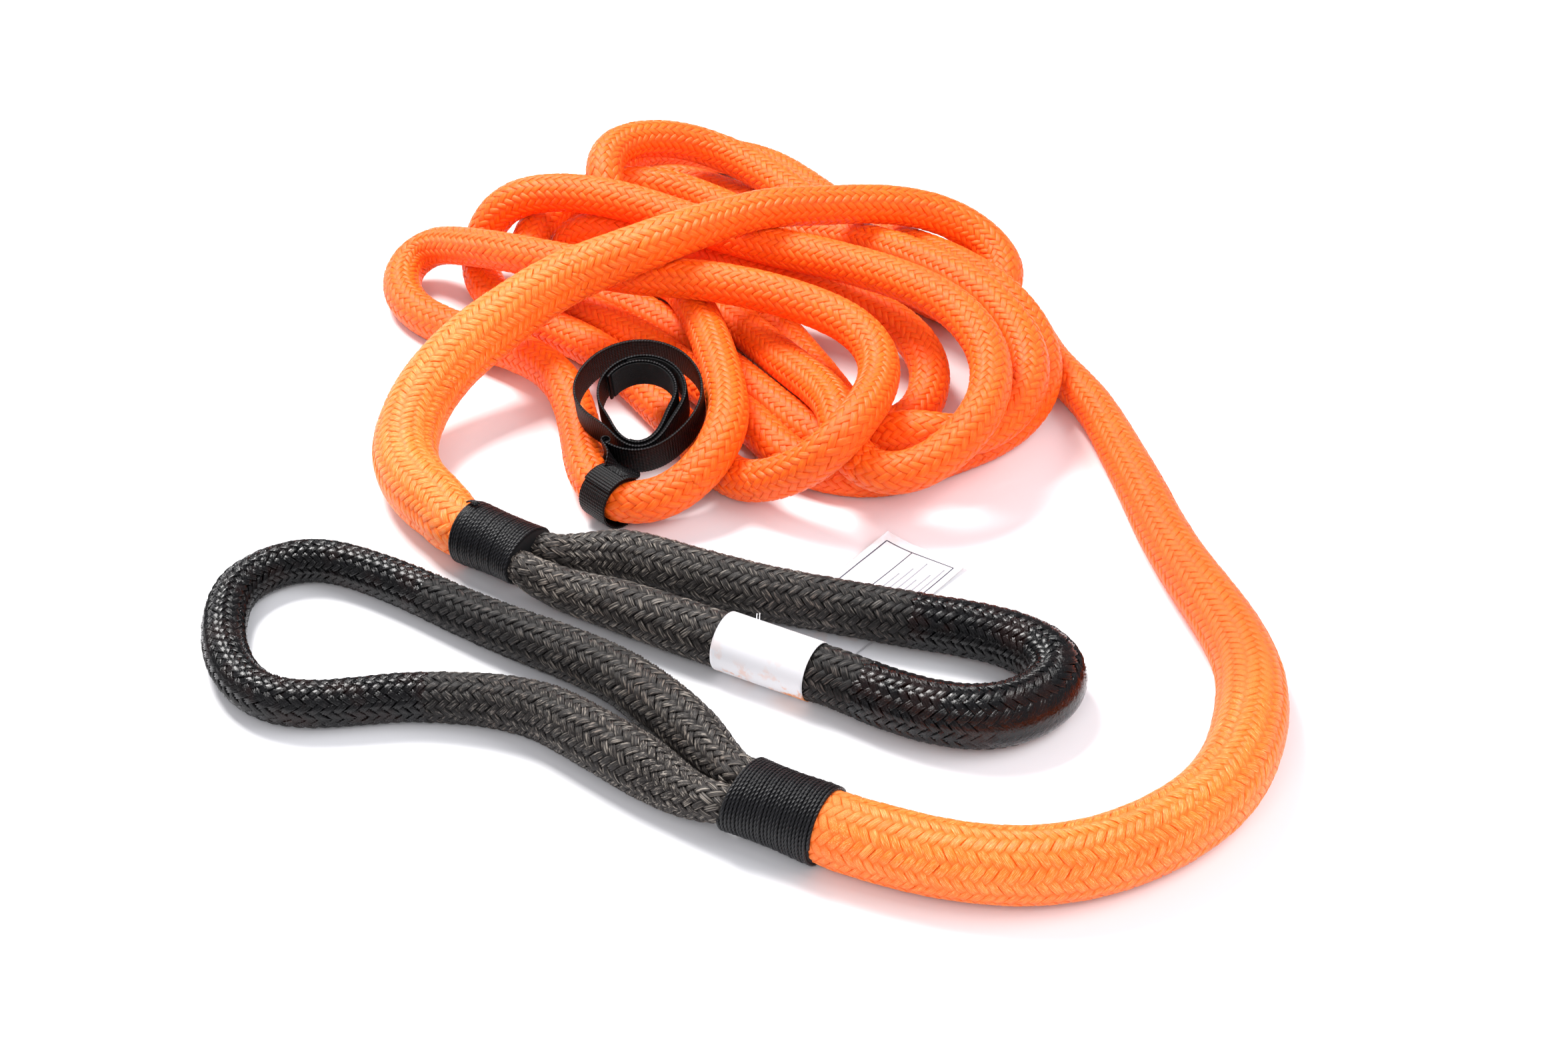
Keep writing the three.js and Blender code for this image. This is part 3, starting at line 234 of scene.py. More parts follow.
EYE_R = table("""
-132.4 -121.6 22.9 11.2  -122.4 -128.3 22.9 12.0  -112.4 -134.9 22.9 12.4
-105.1 -136.6 18.5 13.5  -97.7 -132.9 16.3 14.6  -90.9 -128.4 17.0 15.6  -83.1 -126.3 18.1 16.7
-75.1 -128.0 18.4 17.3  -67.3 -131.8 18.4 17.5  -59.4 -136.2 18.4 17.8  -51.4 -140.5 18.5 17.8
-43.3 -144.5 18.6 17.8  -35.2 -148.5 18.6 17.8  -27.0 -152.3 18.6 17.8  -18.8 -156.1 18.6 17.8
-10.5 -159.7 18.6 17.8  -2.3 -163.3 18.5 17.8  5.9 -166.8 18.6 17.8  14.0 -170.1 18.6 17.8
22.3 -173.3 18.6 17.8  30.6 -176.2 18.6 17.8  39.2 -179.1 18.6 17.8  47.8 -181.8 18.6 17.8
56.6 -184.4 18.6 17.8  65.4 -187.1 18.6 17.8  74.1 -189.7 18.6 17.8  82.9 -192.4 18.6 17.8
91.5 -195.1 18.7 17.9  100.0 -197.8 18.7 18.0  108.4 -200.3 18.8 18.0  117.0 -202.7 18.8 18.0
125.6 -205.1 18.8 18.0  134.2 -207.5 18.9 18.0  142.8 -210.1 18.9 18.1  151.4 -212.9 19.0 18.1
159.7 -216.3 19.1 18.2  167.9 -220.2 19.3 18.4  175.6 -224.8 19.4 18.5  182.7 -230.3 19.6 18.7
188.9 -236.8 19.8 18.9  193.6 -244.4 20.0 19.0  196.1 -252.9 20.1 19.2  196.0 -261.7 20.2 19.4
193.3 -270.2 20.3 19.5  188.6 -277.8 20.4 19.7  182.5 -284.4 20.5 19.8  175.4 -289.9 20.6 19.9
167.6 -294.1 20.6 20.0  159.3 -297.1 20.6 20.0  150.6 -298.7 20.6 20.0  141.8 -298.7 20.5 19.9
132.9 -297.3 20.4 19.7  124.2 -295.0 20.3 19.6  115.7 -291.9 20.2 19.4  107.5 -288.1 20.0 19.3
99.3 -284.0 19.9 19.1  91.3 -279.5 19.7 19.0  83.6 -274.6 19.6 18.8  76.0 -269.6 19.6 18.7
68.6 -264.5 19.5 18.5  61.0 -259.9 19.3 18.4  53.3 -255.7 19.1 18.3  45.4 -251.7 18.9 18.2
37.6 -247.6 18.8 18.2  29.8 -243.2 18.8 18.1  22.0 -238.7 18.8 18.1  14.1 -234.2 18.9 18.0
6.2 -229.7 18.9 18.0  -1.6 -225.3 18.9 18.0  -9.4 -221.0 18.8 18.0  -17.1 -216.6 18.8 18.0
-24.8 -212.3 18.7 17.9  -32.5 -208.1 18.7 17.9  -40.1 -203.7 18.6 17.8  -47.5 -199.2 18.3 17.6
-54.9 -194.5 17.9 17.4  -62.7 -189.8 17.7 17.2  -71.0 -185.1 17.6 17.0  -79.3 -180.3 17.3 16.4
-87.6 -175.7 16.8 15.7  -96.1 -171.7 16.1 15.1  -104.5 -168.5 15.4 14.4
-112.9 -165.7 15.5 13.7  -121.0 -162.7 18.3 13.1  -128.4 -158.7 22.9 12.4
-138.3 -152.0 22.9 12.0  -148.3 -145.3 22.9 11.2""", 4)

MM = 0.001  # metres in a millimetre
UP = np.array([0.0, 0.0, 1.0])
TWINE_RANDOM = np.random.RandomState(7)
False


# ------------------------------------------------------------------ curves
def unit(vectors):
    return vectors / np.maximum(np.linalg.norm(vectors, axis=-1, keepdims=True), 1e-9)


def soft(x):
    """Ease 0..1 in and out."""
    return x * x * (3 - 2 * x)


def run_length(points):
    return np.r_[0, np.cumsum(np.linalg.norm(np.diff(points, axis=0), axis=1))]


def smoothed(rows, sigma):
    """Gaussian smoothing of rows about 1 mm apart, mirrored through both ends."""
    reach = int(4 * sigma)
    kernel = np.exp(-0.5 * (np.arange(-reach, reach + 1) / sigma) ** 2)
    kernel /= kernel.sum()
    padded = np.vstack([2 * rows[0] - rows[reach:0:-1], rows,
                        2 * rows[-1] - rows[-2:-reach - 2:-1]])
    return np.stack([np.convolve(column, kernel, "valid") for column in padded.T], 1)


def frames(points):
    """Tangents, normals and side vectors that don't twist along the line."""
    tangents = unit(np.gradient(points, axis=0))
    normal = UP if abs(UP @ tangents[0]) <= 0.9 else np.array([1.0, 0.0, 0.0])
    normals = np.zeros_like(tangents)
    for i, tangent in enumerate(tangents):
        normal = normal - tangent * (normal @ tangent)
        normal = normal / math.sqrt(normal @ normal)
        normals[i] = normal
    return tangents, normals, np.cross(tangents, normals)


class Line:
    """A smooth centreline with a radius, a station every millimetre and a frame."""

    def __init__(self, rows, sigma, adjust):
        s = run_length(rows[:, :3])
        even = np.linspace(0, s[-1], int(round(s[-1])) + 1)
        rows = np.stack([np.interp(even, s, column) for column in rows.T], 1)
        rows = adjust(smoothed(rows, sigma))
        self.point, self.radius = rows[:, :3], rows[:, 3]
        self.s = run_length(self.point)
        self.tangent, self.normal, self.side = frames(self.point)
        self.curvature = np.gradient(self.tangent, self.s, axis=0)
        self.length = self.s[-1]

    def at(self, s, what):
        values = getattr(self, what)
        if values.ndim == 1:
            return np.interp(s, self.s, values)
        found = np.stack([np.interp(s, self.s, column) for column in values.T], -1)
        return unit(found) if what in ("tangent", "normal", "side") else found

    def nearest(self, place):
        return self.s[int(np.argmin(np.linalg.norm(self.point - np.array(place), axis=1)))]


# ------------------------------------------------------------------ meshes
def hand_over(piece, slot, carrier, *replaced):
    if isinstance(carrier, str):
        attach(piece, carrier)
    else:
        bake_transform(piece)
    if replaced:
        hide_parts(*replaced)


def link(name, data):
    piece = bpy.data.objects.new(name, data)
    bpy.context.scene.collection.objects.link(piece)
    return piece


def make_mesh(name, vertices, faces, attributes, material):
    """faces is a list of (vertex indices (n, k), UVs (n, k, 2))."""
    mesh = bpy.data.meshes.new(name)
    corners = np.concatenate([indices.ravel() for indices, _ in faces])
    sizes = np.concatenate([np.full(len(indices), indices.shape[1]) for indices, _ in faces])
    mesh.vertices.add(len(vertices))
    mesh.loops.add(len(corners))
    mesh.polygons.add(len(sizes))
    mesh.vertices.foreach_set("co", (vertices * MM).astype(np.float32).ravel())
    mesh.loops.foreach_set("vertex_index", corners.astype(np.int32))
    mesh.polygons.foreach_set("loop_start", (np.cumsum(sizes) - sizes).astype(np.int32))
    mesh.polygons.foreach_set("use_smooth", np.ones(len(sizes), bool))
    for key, values in attributes.items():
        layer = mesh.attributes.new(key, "FLOAT", "POINT")
        layer.data.foreach_set("value", values.astype(np.float32).ravel())
    uv = np.concatenate([uvs.reshape(-1, 2) for _, uvs in faces])
    layer = mesh.uv_layers.new(name="OFBake")
    layer.data.foreach_set("uv", uv.astype(np.float32).ravel())
    mesh.update(calc_edges=True)
    mesh.materials.append(material)
    return link(name, mesh)


def circle(sides):
    return np.linspace(0, 2 * math.pi, sides, endpoint=False)


def tube_set(name, rings, attributes, material):
    """Capped tubes from rings (tube, station, side, xyz); attributes broadcast to them."""
    count, stations, sides = rings.shape[:3]
    index = np.arange(count * stations * sides).reshape(count, stations, sides)
    near, far = index[:, :-1], index[:, 1:]
    quads = np.stack([near, far, np.roll(far, -1, axis=2), np.roll(near, -1, axis=2)], -1)
    # one row of the UV square for every side of every tube, caps in the left and right margins
    rows = count * sides
    row = np.arange(rows).reshape(count, 1, sides)
    step = np.arange(stations - 1)[None, :, None]
    u0, u1 = (0.01 + 0.98 * (step + k) / (stations - 1) for k in (0, 1))
    v0, v1 = (row + 0.1) / rows, (row + 0.9) / rows
    quad_uv = np.stack([np.stack(np.broadcast_arrays(u, v), -1)
                        for u, v in ((u0, v0), (u1, v0), (u1, v1), (u0, v1))], -2)
    faces = [(quads.reshape(-1, 4), quad_uv.reshape(-1, 4, 2))]
    angle = circle(sides)
    cap_v = ((np.arange(count) * sides + sides / 2)[:, None] / rows
             + 0.3 * sides / rows * np.sin(angle))
    for cap, margin in ((index[:, 0], 0.004), (index[:, -1, ::-1], 0.996)):
        cap_u = margin + 0.003 * np.cos(angle)
        faces.append((cap, np.stack(np.broadcast_arrays(cap_u, cap_v), -1)))
    attributes = {k: np.broadcast_to(v, index.shape) for k, v in attributes.items()}
    return make_mesh(name, rings.reshape(-1, 3), faces, attributes, material)


def round_tubes(name, paths, radius, sides, material, extra=None):
    """Solid round tubes along paths that all have the same number of points."""
    paths = np.array(paths, float)
    angle = -circle(sides)[:, None]
    rings = []
    for path in paths:
        _, normal, side = frames(path)
        spoke = np.cos(angle) * normal[:, None] + np.sin(angle) * side[:, None]
        rings.append(path[:, None] + radius * spoke)
    number = np.arange(len(paths))[:, None, None]
    attributes = {"su": np.array([run_length(path) for path in paths])[:, :, None],
                  "sv": circle(sides) * radius + 31.7 * number,
                  "rnd": TWINE_RANDOM.rand(len(paths))[:, None, None]}
    return tube_set(name, np.array(rings), attributes | (extra or {}), material)


def core_tube(name, line, start, end, inset, material, sides=28, step=4.0, bulge=None):
    """A plain tube just under the braid."""
    s = np.linspace(start, end, max(int((end - start) / step), 2) + 1)
    angle = -circle(sides)[None, :, None]
    outward = (np.cos(angle) * line.at(s, "normal")[:, None]
               + np.sin(angle) * line.at(s, "side")[:, None])
    radius = (line.at(s, "radius") - inset)[:, None] * np.ones((1, sides))
    if bulge is not None:
        radius = radius + bulge(s, outward)
    rings = line.at(s, "point")[:, None] + radius[:, :, None] * outward
    attributes = {"su": s[None, :, None], "sv": circle(sides) * 15, "rnd": 0.5, "rad": 0.0}
    return tube_set(name, rings[None], attributes, material)


def cells(grid):
    """The four corners of every cell of a grid."""
    corners = [grid[:-1, :-1], grid[1:, :-1], grid[1:, 1:], grid[:-1, 1:]]
    return np.stack(corners, 2).reshape(-1, 4, *grid.shape[2:])


def sheet(name, grid, thick, material, along, across, relief=0.0, extra=None):
    """A closed slab round the mid surface grid (n, m, xyz). relief thickens both faces."""
    n, m, _ = grid.shape
    normal = unit(np.cross(np.gradient(grid, axis=0), np.gradient(grid, axis=1)))
    half = (thick / 2 + relief * np.ones((n, m)))[:, :, None]
    vertices = np.concatenate([(grid + normal * half).reshape(-1, 3),
                               (grid - normal * half).reshape(-1, 3)])
    top = np.arange(n * m).reshape(n, m)
    u, v = np.meshgrid(np.arange(n) / (n - 1) * 0.98 + 0.01, np.arange(m) / (m - 1),
                       indexing="ij")
    top_uv, bottom_uv = (np.stack([u, low + 0.44 * v], -1) for low in (0.01, 0.48))
    turned = [0, 3, 2, 1]
    faces = [(cells(top), cells(top_uv)),
             (cells(top + n * m)[:, turned], cells(bottom_uv)[:, turned])]
    for row, upper in enumerate((top[::-1, 0], top[:, -1], top[0], top[-1, ::-1])):
        lower = upper + n * m
        count = len(upper) - 1
        x0 = np.arange(count) / count
        x1 = x0 + 1 / count
        y0, y1 = (x0 * 0 + low + row * 0.013 for low in (0.945, 0.955))
        uv = np.stack([np.stack(c, -1) for c in ((x0, y0), (x0, y1), (x1, y1), (x1, y0))], -2)
        faces.append((np.stack([upper[:-1], lower[:-1], lower[1:], upper[1:]], -1), uv))
    attributes = {"su": along, "sv": across, "rnd": 0.4}
    attributes = {k: np.tile(np.broadcast_to(value, (n, m)).ravel(), 2)
                  for k, value in (attributes | (extra or {})).items()}
    attributes["face"] = np.repeat([1.0, 0.0], n * m)
    return make_mesh(name, vertices, faces, attributes, material)


# ------------------------------------------------------------------ braid
STRANDS = 16  # strands each way round
# Strand sections, in halves of the strand's width and thickness: (across, outward).
LENS = np.array([(-1.0, -0.45), (-0.66, 0.78), (0.66, 0.78), (1.0, -0.45), (0.0, -0.85)])
PLIED = np.array([(-1.0, -0.15), (-0.68, 0.78), (-0.34, 0.38), (0.0, 1.0), (0.34, 0.38),
                  (0.68, 0.78), (1.0, -0.15), (0.5, -0.85), (-0.5, -0.85)])


def pitch_for(radius):
    return np.interp(2 * radius, [29.4, 36.0, 45.0], [113.0, 106.0, 93.0])


def over_under(crossing):
    """-1..1 height of a strand over two and under two; crossing mod 4, over at 0 and 1."""
    x = np.cos(2 * math.pi * (crossing - 0.5) / 4)
    return np.sign(x) * np.abs(x) ** 0.42


class Braid:
    """Strands both ways round a line. peak is how far a strand rises and dips."""

    def __init__(self, line, section, peak, thick, fill, jitter, seed):
        random = np.random.RandomState(seed)
        rate = 2 * math.pi / pitch_for(line.radius)
        turned = np.r_[0, np.cumsum(0.5 * (rate[1:] + rate[:-1]) * np.diff(line.s))]
        crossings = STRANDS * turned / math.pi
        half_step = np.arange(0, int(2 * crossings[-1]) + 1) / 2.0
        self.s = s = np.interp(half_step, crossings, line.s)
        point, tangent, normal, side, curvature, radius = (line.at(s, what) for what in (
            "point", "tangent", "normal", "side", "curvature", "radius"))
        pitch = np.interp(s, line.s, pitch_for(line.radius))
        turned = np.interp(s, line.s, turned)
        across, outward = section.T
        # top: 1 on a strand's upper face, 0 at its edges and underside; the materials paint shade
        # at strand edges from it
        self.top = np.clip(outward + 0.3, 0, 1)
        rings, height, width = [], [], []
        for strand in range(2 * STRANDS):
            i, sign = strand % STRANDS, (1 if strand < STRANDS else -1)
            phase = random.rand(3) * 6.283
            wobble = jitter * (np.sin(s / 23.0 + phase[0]) + 0.6 * np.sin(s / 9.7 + phase[1]))
            angle = sign * turned + 2 * math.pi * i / STRANDS + wobble * 0.018
            cos, sin = np.cos(angle)[:, None], np.sin(angle)[:, None]
            out, around = cos * normal + sin * side, -sin * normal + cos * side
            offset = peak * over_under(2 * i + sign * half_step) * sign
            # strands crowd on the inside of a bend and spread on the outside
            stretch = np.clip(1 - radius * (curvature * out).sum(1), 0.3, 1.9)
            axial = pitch / STRANDS * stretch
            girth = 2 * math.pi * radius / STRANDS
            spacing = axial * girth / np.sqrt(axial ** 2 + girth ** 2)
            strand_way = unit((axial / girth)[:, None] * tangent + sign * around)
            wide = np.cross(out, strand_way)
            ripple = 0.10 * jitter * np.sin(s / 5.3 + phase[2])
            middle = point + (radius - thick / 2 - peak + offset + ripple)[:, None] * out
            half_width = (spacing * fill / 2)[:, None] * across
            rings.append(middle[:, None] + wide[:, None] * half_width[:, :, None]
                         + out[:, None] * (thick / 2 * outward)[:, None])
            # rad: high on a raised strand's outer face, low on a sunken strand's underside; the
            # materials paint shade and highlight from it
            height.append(np.clip(0.5 + offset / (2 * peak), 0, 1)[:, None]
                          * np.clip(0.55 + 0.45 * (outward + 0.3) / 1.1, 0, 1))
            width.append(half_width + 41.3 * strand)
        self.rings, self.height, self.width = map(np.array, (rings, height, width))
        self.run = s * np.sqrt(1 + (2 * math.pi * radius / pitch) ** 2)
        self.random = random.rand(2 * STRANDS)[:, None, None]

    def piece(self, name, start, end, material, extra_name, extra):
        first, last = (int(np.argmin(np.abs(self.s - s))) for s in (start, end))
        part = slice(first, last + 1)
        attributes = {"rad": self.height[:, part], "top": self.top,
                      "su": self.run[part, None], "sv": self.width[:, part],
                      "rnd": self.random, extra_name: extra(self.s[part])[:, None]}
        return tube_set(name, self.rings[:, part], attributes, material)


# ------------------------------------------------------------------ materials
def srgb(*levels):
    """A linear RGBA colour from sRGB levels of 0 to 255."""
    shares = [level / 255.0 for level in levels]
    return (*(c / 12.92 if c <= 0.04045 else ((c + 0.055) / 1.055) ** 2.4 for c in shares), 1.0)


class Nodes:
    """Short ways to add nodes to a tree. An input is a number, a colour or a socket."""

    def __init__(self, tree):
        self.tree = tree

    def put(self, socket, value):
        if isinstance(value, bpy.types.NodeSocket):
            self.tree.links.new(value, socket)
        else:
            socket.default_value = value

    def add(self, kind, inputs=None, **settings):
        node = self.tree.nodes.new("ShaderNode" + kind)
        for key, value in settings.items():
            setattr(node, key, value)
        for key, value in (inputs or {}).items():
            self.put(node.inputs[key], value)
        return node

    def attr(self, name):
        return self.add("Attribute", attribute_name=name).outputs["Fac"]

    def math(self, operation, a, b=0.0):
        return self.add("Math", {0: a, 1: b}, operation=operation).outputs[0]

    def times(self, a, b):
        return self.math("MULTIPLY", a, b)

    def ramp(self, value, over, to=(0.0, 1.0)):
        """A smooth step from to[0] to to[1] as value crosses over."""
        inputs = {"Value": value, "From Min": over[0], "From Max": over[1],
                  "To Min": to[0], "To Max": to[1]}
        return self.add("MapRange", inputs, interpolation_type="SMOOTHSTEP").outputs["Result"]

    def strand(self, along, across):
        """A texture place that follows the strand, different on each strand."""
        inputs = {0: self.times(self.attr("su"), along), 1: self.times(self.attr("sv"), across),
                  2: self.times(self.attr("rnd"), 50.0)}
        return self.add("CombineXYZ", inputs).outputs[0]

    def place(self):
        return self.add("TexCoord").outputs["Object"]

    def noise(self, vector, scale=1.0, detail=2.0, rough=0.5):
        inputs = {"Vector": vector, "Scale": scale, "Detail": detail, "Roughness": rough}
        return self.add("TexNoise", inputs).outputs["Fac"]

    def mix(self, factor, a, b):
        return self.add("Mix", {"Factor": factor, 6: a, 7: b}, data_type="RGBA").outputs[2]

    def bump(self, height, distance, strength):
        inputs = {"Height": height, "Distance": distance, "Strength": strength}
        return self.add("Bump", inputs).outputs[0]


class Material(Nodes):
    def __init__(self, name, **inputs):
        self.material = bpy.data.materials.new(name)
        self.material.use_nodes = True
        super().__init__(self.material.node_tree)
        self.shader = self.tree.nodes["Principled BSDF"]
        self.set(**inputs)

    def set(self, **inputs):
        for key, value in inputs.items():
            self.put(self.shader.inputs[key.replace("_", " ")], value)


def orange_yarn():
    """Orange nylon; attribute "spl" runs from 0 on the plain rope to 1 on a splice."""
    m = Material("rope_cover", Roughness=0.42)
    streak = m.noise(m.strand(along=0.10, across=1.1), rough=0.6)
    fine = m.noise(m.strand(along=0.25, across=5.5), detail=3.0, rough=0.65)
    patch = m.noise(m.place(), scale=24.0)
    height, splice, top = m.attr("rad"), m.attr("spl"), m.attr("top")
    # the darkest orange is painted shade for sunken strands and strand edges; it also tints the
    # darker random patches
    painted_shade_and_patch = m.mix(splice, srgb(228, 48, 2), srgb(236, 74, 8))
    base = m.mix(splice, srgb(250, 92, 8), srgb(250, 108, 18))
    # the light orange of the crests is painted highlight
    lit_crest = m.mix(splice, srgb(254, 112, 20), srgb(254, 126, 34))
    # the palest orange is a painted glint
    glint = m.mix(splice, srgb(255, 158, 66), srgb(255, 206, 132))
    # painted shade: strands sunk under their crossings are darker
    colour = m.mix(m.ramp(height, over=(0.02, 0.50)), painted_shade_and_patch, base)
    # painted highlight in fibre streaks along the raised strands
    crest_highlight = m.times(m.ramp(height, over=(0.50, 1.0)),
                      m.ramp(streak, over=(0.40, 0.66), to=(0.10, 0.9)))
    colour = m.mix(crest_highlight, colour, lit_crest)
    # painted shade: each strand darkens towards its edges and the gaps between strands
    colour = m.mix(m.ramp(top, over=(0.0, 0.55), to=(0.42, 0.0)), colour, painted_shade_and_patch)
    # painted glints on raised fibres, paler and more of them on a splice
    threshold = m.math("SUBTRACT", 0.61, m.times(splice, 0.075))
    painted_glint_mask = m.ramp(m.math("SUBTRACT", fine, threshold), over=(0.0, 0.10))
    raised = m.ramp(height, over=(0.40, 0.9), to=(0.0, 0.8))
    colour = m.mix(m.times(painted_glint_mask, raised), colour, glint)
    # darker patches at random are a real tone of the yarn
    colour = m.mix(m.ramp(patch, over=(0.35, 0.70), to=(0.0, 0.14)), colour, painted_shade_and_patch)
    relief = m.math("ADD", fine, m.times(streak, 0.8))
    m.set(Base_Color=colour, Roughness=m.ramp(fine, over=(0.3, 0.7), to=(0.34, 0.52)),
          Sheen_Weight=0.06, Sheen_Roughness=0.4, Sheen_Tint=srgb(255, 190, 120),
          Specular_IOR_Level=0.42, Normal=m.bump(relief, distance=0.0004, strength=0.6))
    return m.material


def sleeve_yarn():
    """Near-black yarn; attribute "pale" is 1 at the whipping and fades towards the coating."""
    m = Material("eye_sleeve", Roughness=0.42)
    streak = m.noise(m.strand(along=0.14, across=1.25), rough=0.55)
    fine = m.noise(m.strand(along=0.30, across=5.0), detail=3.0, rough=0.7)
    height, pale, top = m.attr("rad"), m.attr("pale"), m.attr("top")
    warm = m.ramp(m.noise(m.place(), scale=30.0), over=(0.5, 0.7), to=(0.0, 0.5))
    middle = m.mix(pale, srgb(19, 18, 18), srgb(47, 43, 41))
    # painted highlight colour for streaks and flecks on raised strands, paler near the whipping
    # and warmer at random
    light = m.mix(pale, srgb(84, 79, 76), srgb(176, 166, 154))
    light = m.mix(warm, light, m.mix(pale, srgb(84, 62, 54), srgb(160, 138, 122)))
    # painted shade: sunken strands and strand edges go near black
    raised = m.times(m.ramp(height, over=(0.15, 0.70)),
                     m.ramp(top, over=(0.0, 0.8), to=(0.35, 1.0)))
    colour = m.mix(raised, srgb(9, 8, 8), middle)
    # painted highlight: light streaks on raised strand tops
    streaked = m.times(m.ramp(streak, over=(0.52, 0.66)), m.ramp(height, over=(0.40, 0.9)))
    topped = m.ramp(top, over=(0.2, 0.9), to=(0.1, 0.8))
    colour = m.mix(m.times(streaked, topped), colour, light)
    # painted highlight: light flecks on raised strands
    highlight_flecks = m.times(m.ramp(fine, over=(0.57, 0.68)),
                      m.ramp(height, over=(0.40, 0.9), to=(0.0, 0.5)))
    colour = m.mix(highlight_flecks, colour, light)
    m.set(Base_Color=colour, Specular_IOR_Level=0.35,
          Normal=m.bump(m.math("ADD", fine, streak), distance=0.0007, strength=0.8))
    return m.material


def coating(name, smooth):
    """Glossy black coating with brown blotches; strands show unless it is smooth."""
    m = Material(name, Roughness=0.2)
    blotch = m.noise(m.place(), scale=42.0, detail=3.0, rough=0.6)
    relief = lumps = m.noise(m.place(), scale=330.0, detail=3.0, rough=0.6)
    brown = m.times(m.ramp(blotch, over=(0.46, 0.66)), 0.55)
    colour = m.mix(brown, srgb(3, 3, 4), srgb(34, 15, 11))
    if not smooth:
        # grey streaks on raised strands: the strands showing through the coating, and painted
        # highlight on them
        streak = m.noise(m.strand(along=0.16, across=1.5), rough=0.6)
        streaked = m.times(m.ramp(streak, over=(0.52, 0.72), to=(0.0, 0.5)),
                           m.ramp(m.attr("rad"), over=(0.4, 0.9)))
        colour = m.mix(streaked, colour, srgb(26, 24, 24))
        relief = m.math("ADD", lumps, m.times(streak, 1.5))
    m.set(Base_Color=colour, Roughness=m.ramp(lumps, over=(0.35, 0.7), to=(0.14, 0.38)),
          Specular_IOR_Level=0.3, Coat_Weight=0.26, Coat_Roughness=0.07,
          Normal=m.bump(relief, distance=0.0010, strength=0.75))
    return m.material


def twine():
    """Black plied twine; the ply is a slanting stripe."""
    m = Material("twine", Roughness=0.42)
    slant = m.math("ADD", m.times(m.attr("su"), 0.9), m.times(m.attr("sv"), 1.3))
    ply = m.math("SINE", m.times(slant, 2.4))
    fine = m.noise(m.strand(along=0.5, across=3.0), rough=0.6)
    # painted highlight on the ply crests, broken by fine fibre noise
    lit = m.times(m.ramp(ply, over=(0.2, 0.95)),
                  m.ramp(fine, over=(0.35, 0.6), to=(0.3, 1.0)))
    relief = m.math("ADD", m.times(ply, 0.5), fine)
    m.set(Base_Color=m.mix(lit, srgb(3, 3, 4), srgb(30, 30, 35)), Specular_IOR_Level=0.38,
          Normal=m.bump(relief, distance=0.0004, strength=0.7))
    return m.material


RIB = 2.1          # rib spacing along the webbing
# the light dashes are painted highlight on the rib crests
THREAD_GAP = 1.7   # light dashes across the webbing


def webbing():
    m = Material("webbing", Roughness=0.5)
    weave = m.math("SINE", m.math("SUBTRACT", m.times(m.attr("su"), 2 * math.pi / RIB),
                                  math.pi / 2))
    dash = m.math("SINE", m.times(m.attr("sv"), 2 * math.pi / THREAD_GAP))
    grain = m.noise(m.strand(along=1.1, across=2.2), detail=3.0, rough=0.6)
    # painted highlight: dashes on the rib crests
    lit_crest = m.times(m.ramp(weave, over=(0.35, 0.95)), m.ramp(dash, over=(0.1, 0.9)))
    lit = m.times(lit_crest, m.ramp(grain, over=(0.35, 0.65), to=(0.25, 1.0)))
    relief = m.math("ADD", m.times(dash, 0.25), m.times(grain, 0.5))
    m.set(Base_Color=m.mix(lit, srgb(3, 3, 4), srgb(62, 60, 62)), Specular_IOR_Level=0.18,
          Normal=m.bump(relief, distance=0.0004, strength=0.7))
    return m.material


def fuzzy_webbing():
    m = Material("webbing_fuzzy", Roughness=0.85)
    grain = m.noise(m.strand(along=1.1, across=2.2), detail=3.0, rough=0.6)
    colour = m.mix(m.ramp(grain, over=(0.50, 0.8)), srgb(6, 6, 7), srgb(34, 33, 34))
    m.set(Base_Color=colour, Sheen_Weight=0.06, Specular_IOR_Level=0.18,
          Normal=m.bump(grain, distance=0.0012, strength=1.0))
    return m.material


def label_paper():
    """White paper; attribute "low" lets orange smudges in."""
    m = Material("label_paper", Roughness=0.42)
    place = m.place()
    blot = m.noise(place, scale=95.0, detail=3.0, rough=0.6)
    big = m.noise(place, scale=34.0, detail=1.0)
    smudge = m.times(m.ramp(blot, over=(0.48, 0.60)), m.ramp(big, over=(0.38, 0.54)))
    smudge = m.times(smudge, m.attr("low"))
    m.set(Base_Color=m.mix(smudge, srgb(226, 226, 229), srgb(226, 138, 66)),
          Specular_IOR_Level=0.45,
          Normal=m.bump(m.noise(place, scale=300.0), distance=0.0002, strength=0.25))
    return m.material


def flat(name, colour, roughness):
    return Material(name, Roughness=roughness, Base_Color=colour).material


ROPE_COVER = orange_yarn()
ROPE_CORE = flat("rope_core", srgb(244, 84, 10), roughness=0.6)
SLEEVE = sleeve_yarn()
COATING = coating("eye_coating", smooth=False)
COATING_FILL = coating("eye_coating_fill", smooth=True)
EYE_CORE = flat("eye_core", srgb(16, 14, 14), roughness=0.7)
TWINE = twine()
TWINE_CORE = flat("twine_core", srgb(9, 9, 10), roughness=0.8)
PAPER = label_paper()
INK = flat("label_ink", srgb(70, 70, 84), roughness=0.6)
INK_LIGHT = flat("label_ink_light", srgb(150, 150, 158), roughness=0.6)
WEBBING = webbing()
FUZZY = fuzzy_webbing()


# ------------------------------------------------------------------ orange rope
def narrow_start(rows):
    """The rope is pulled in a little next to whipping r."""
    s = run_length(rows[:, :3])
    rows[:, 3] = np.minimum(rows[:, 3], 19.2 + 3.4 * np.clip((s - 6) / 48, 0, 1))
    return rows


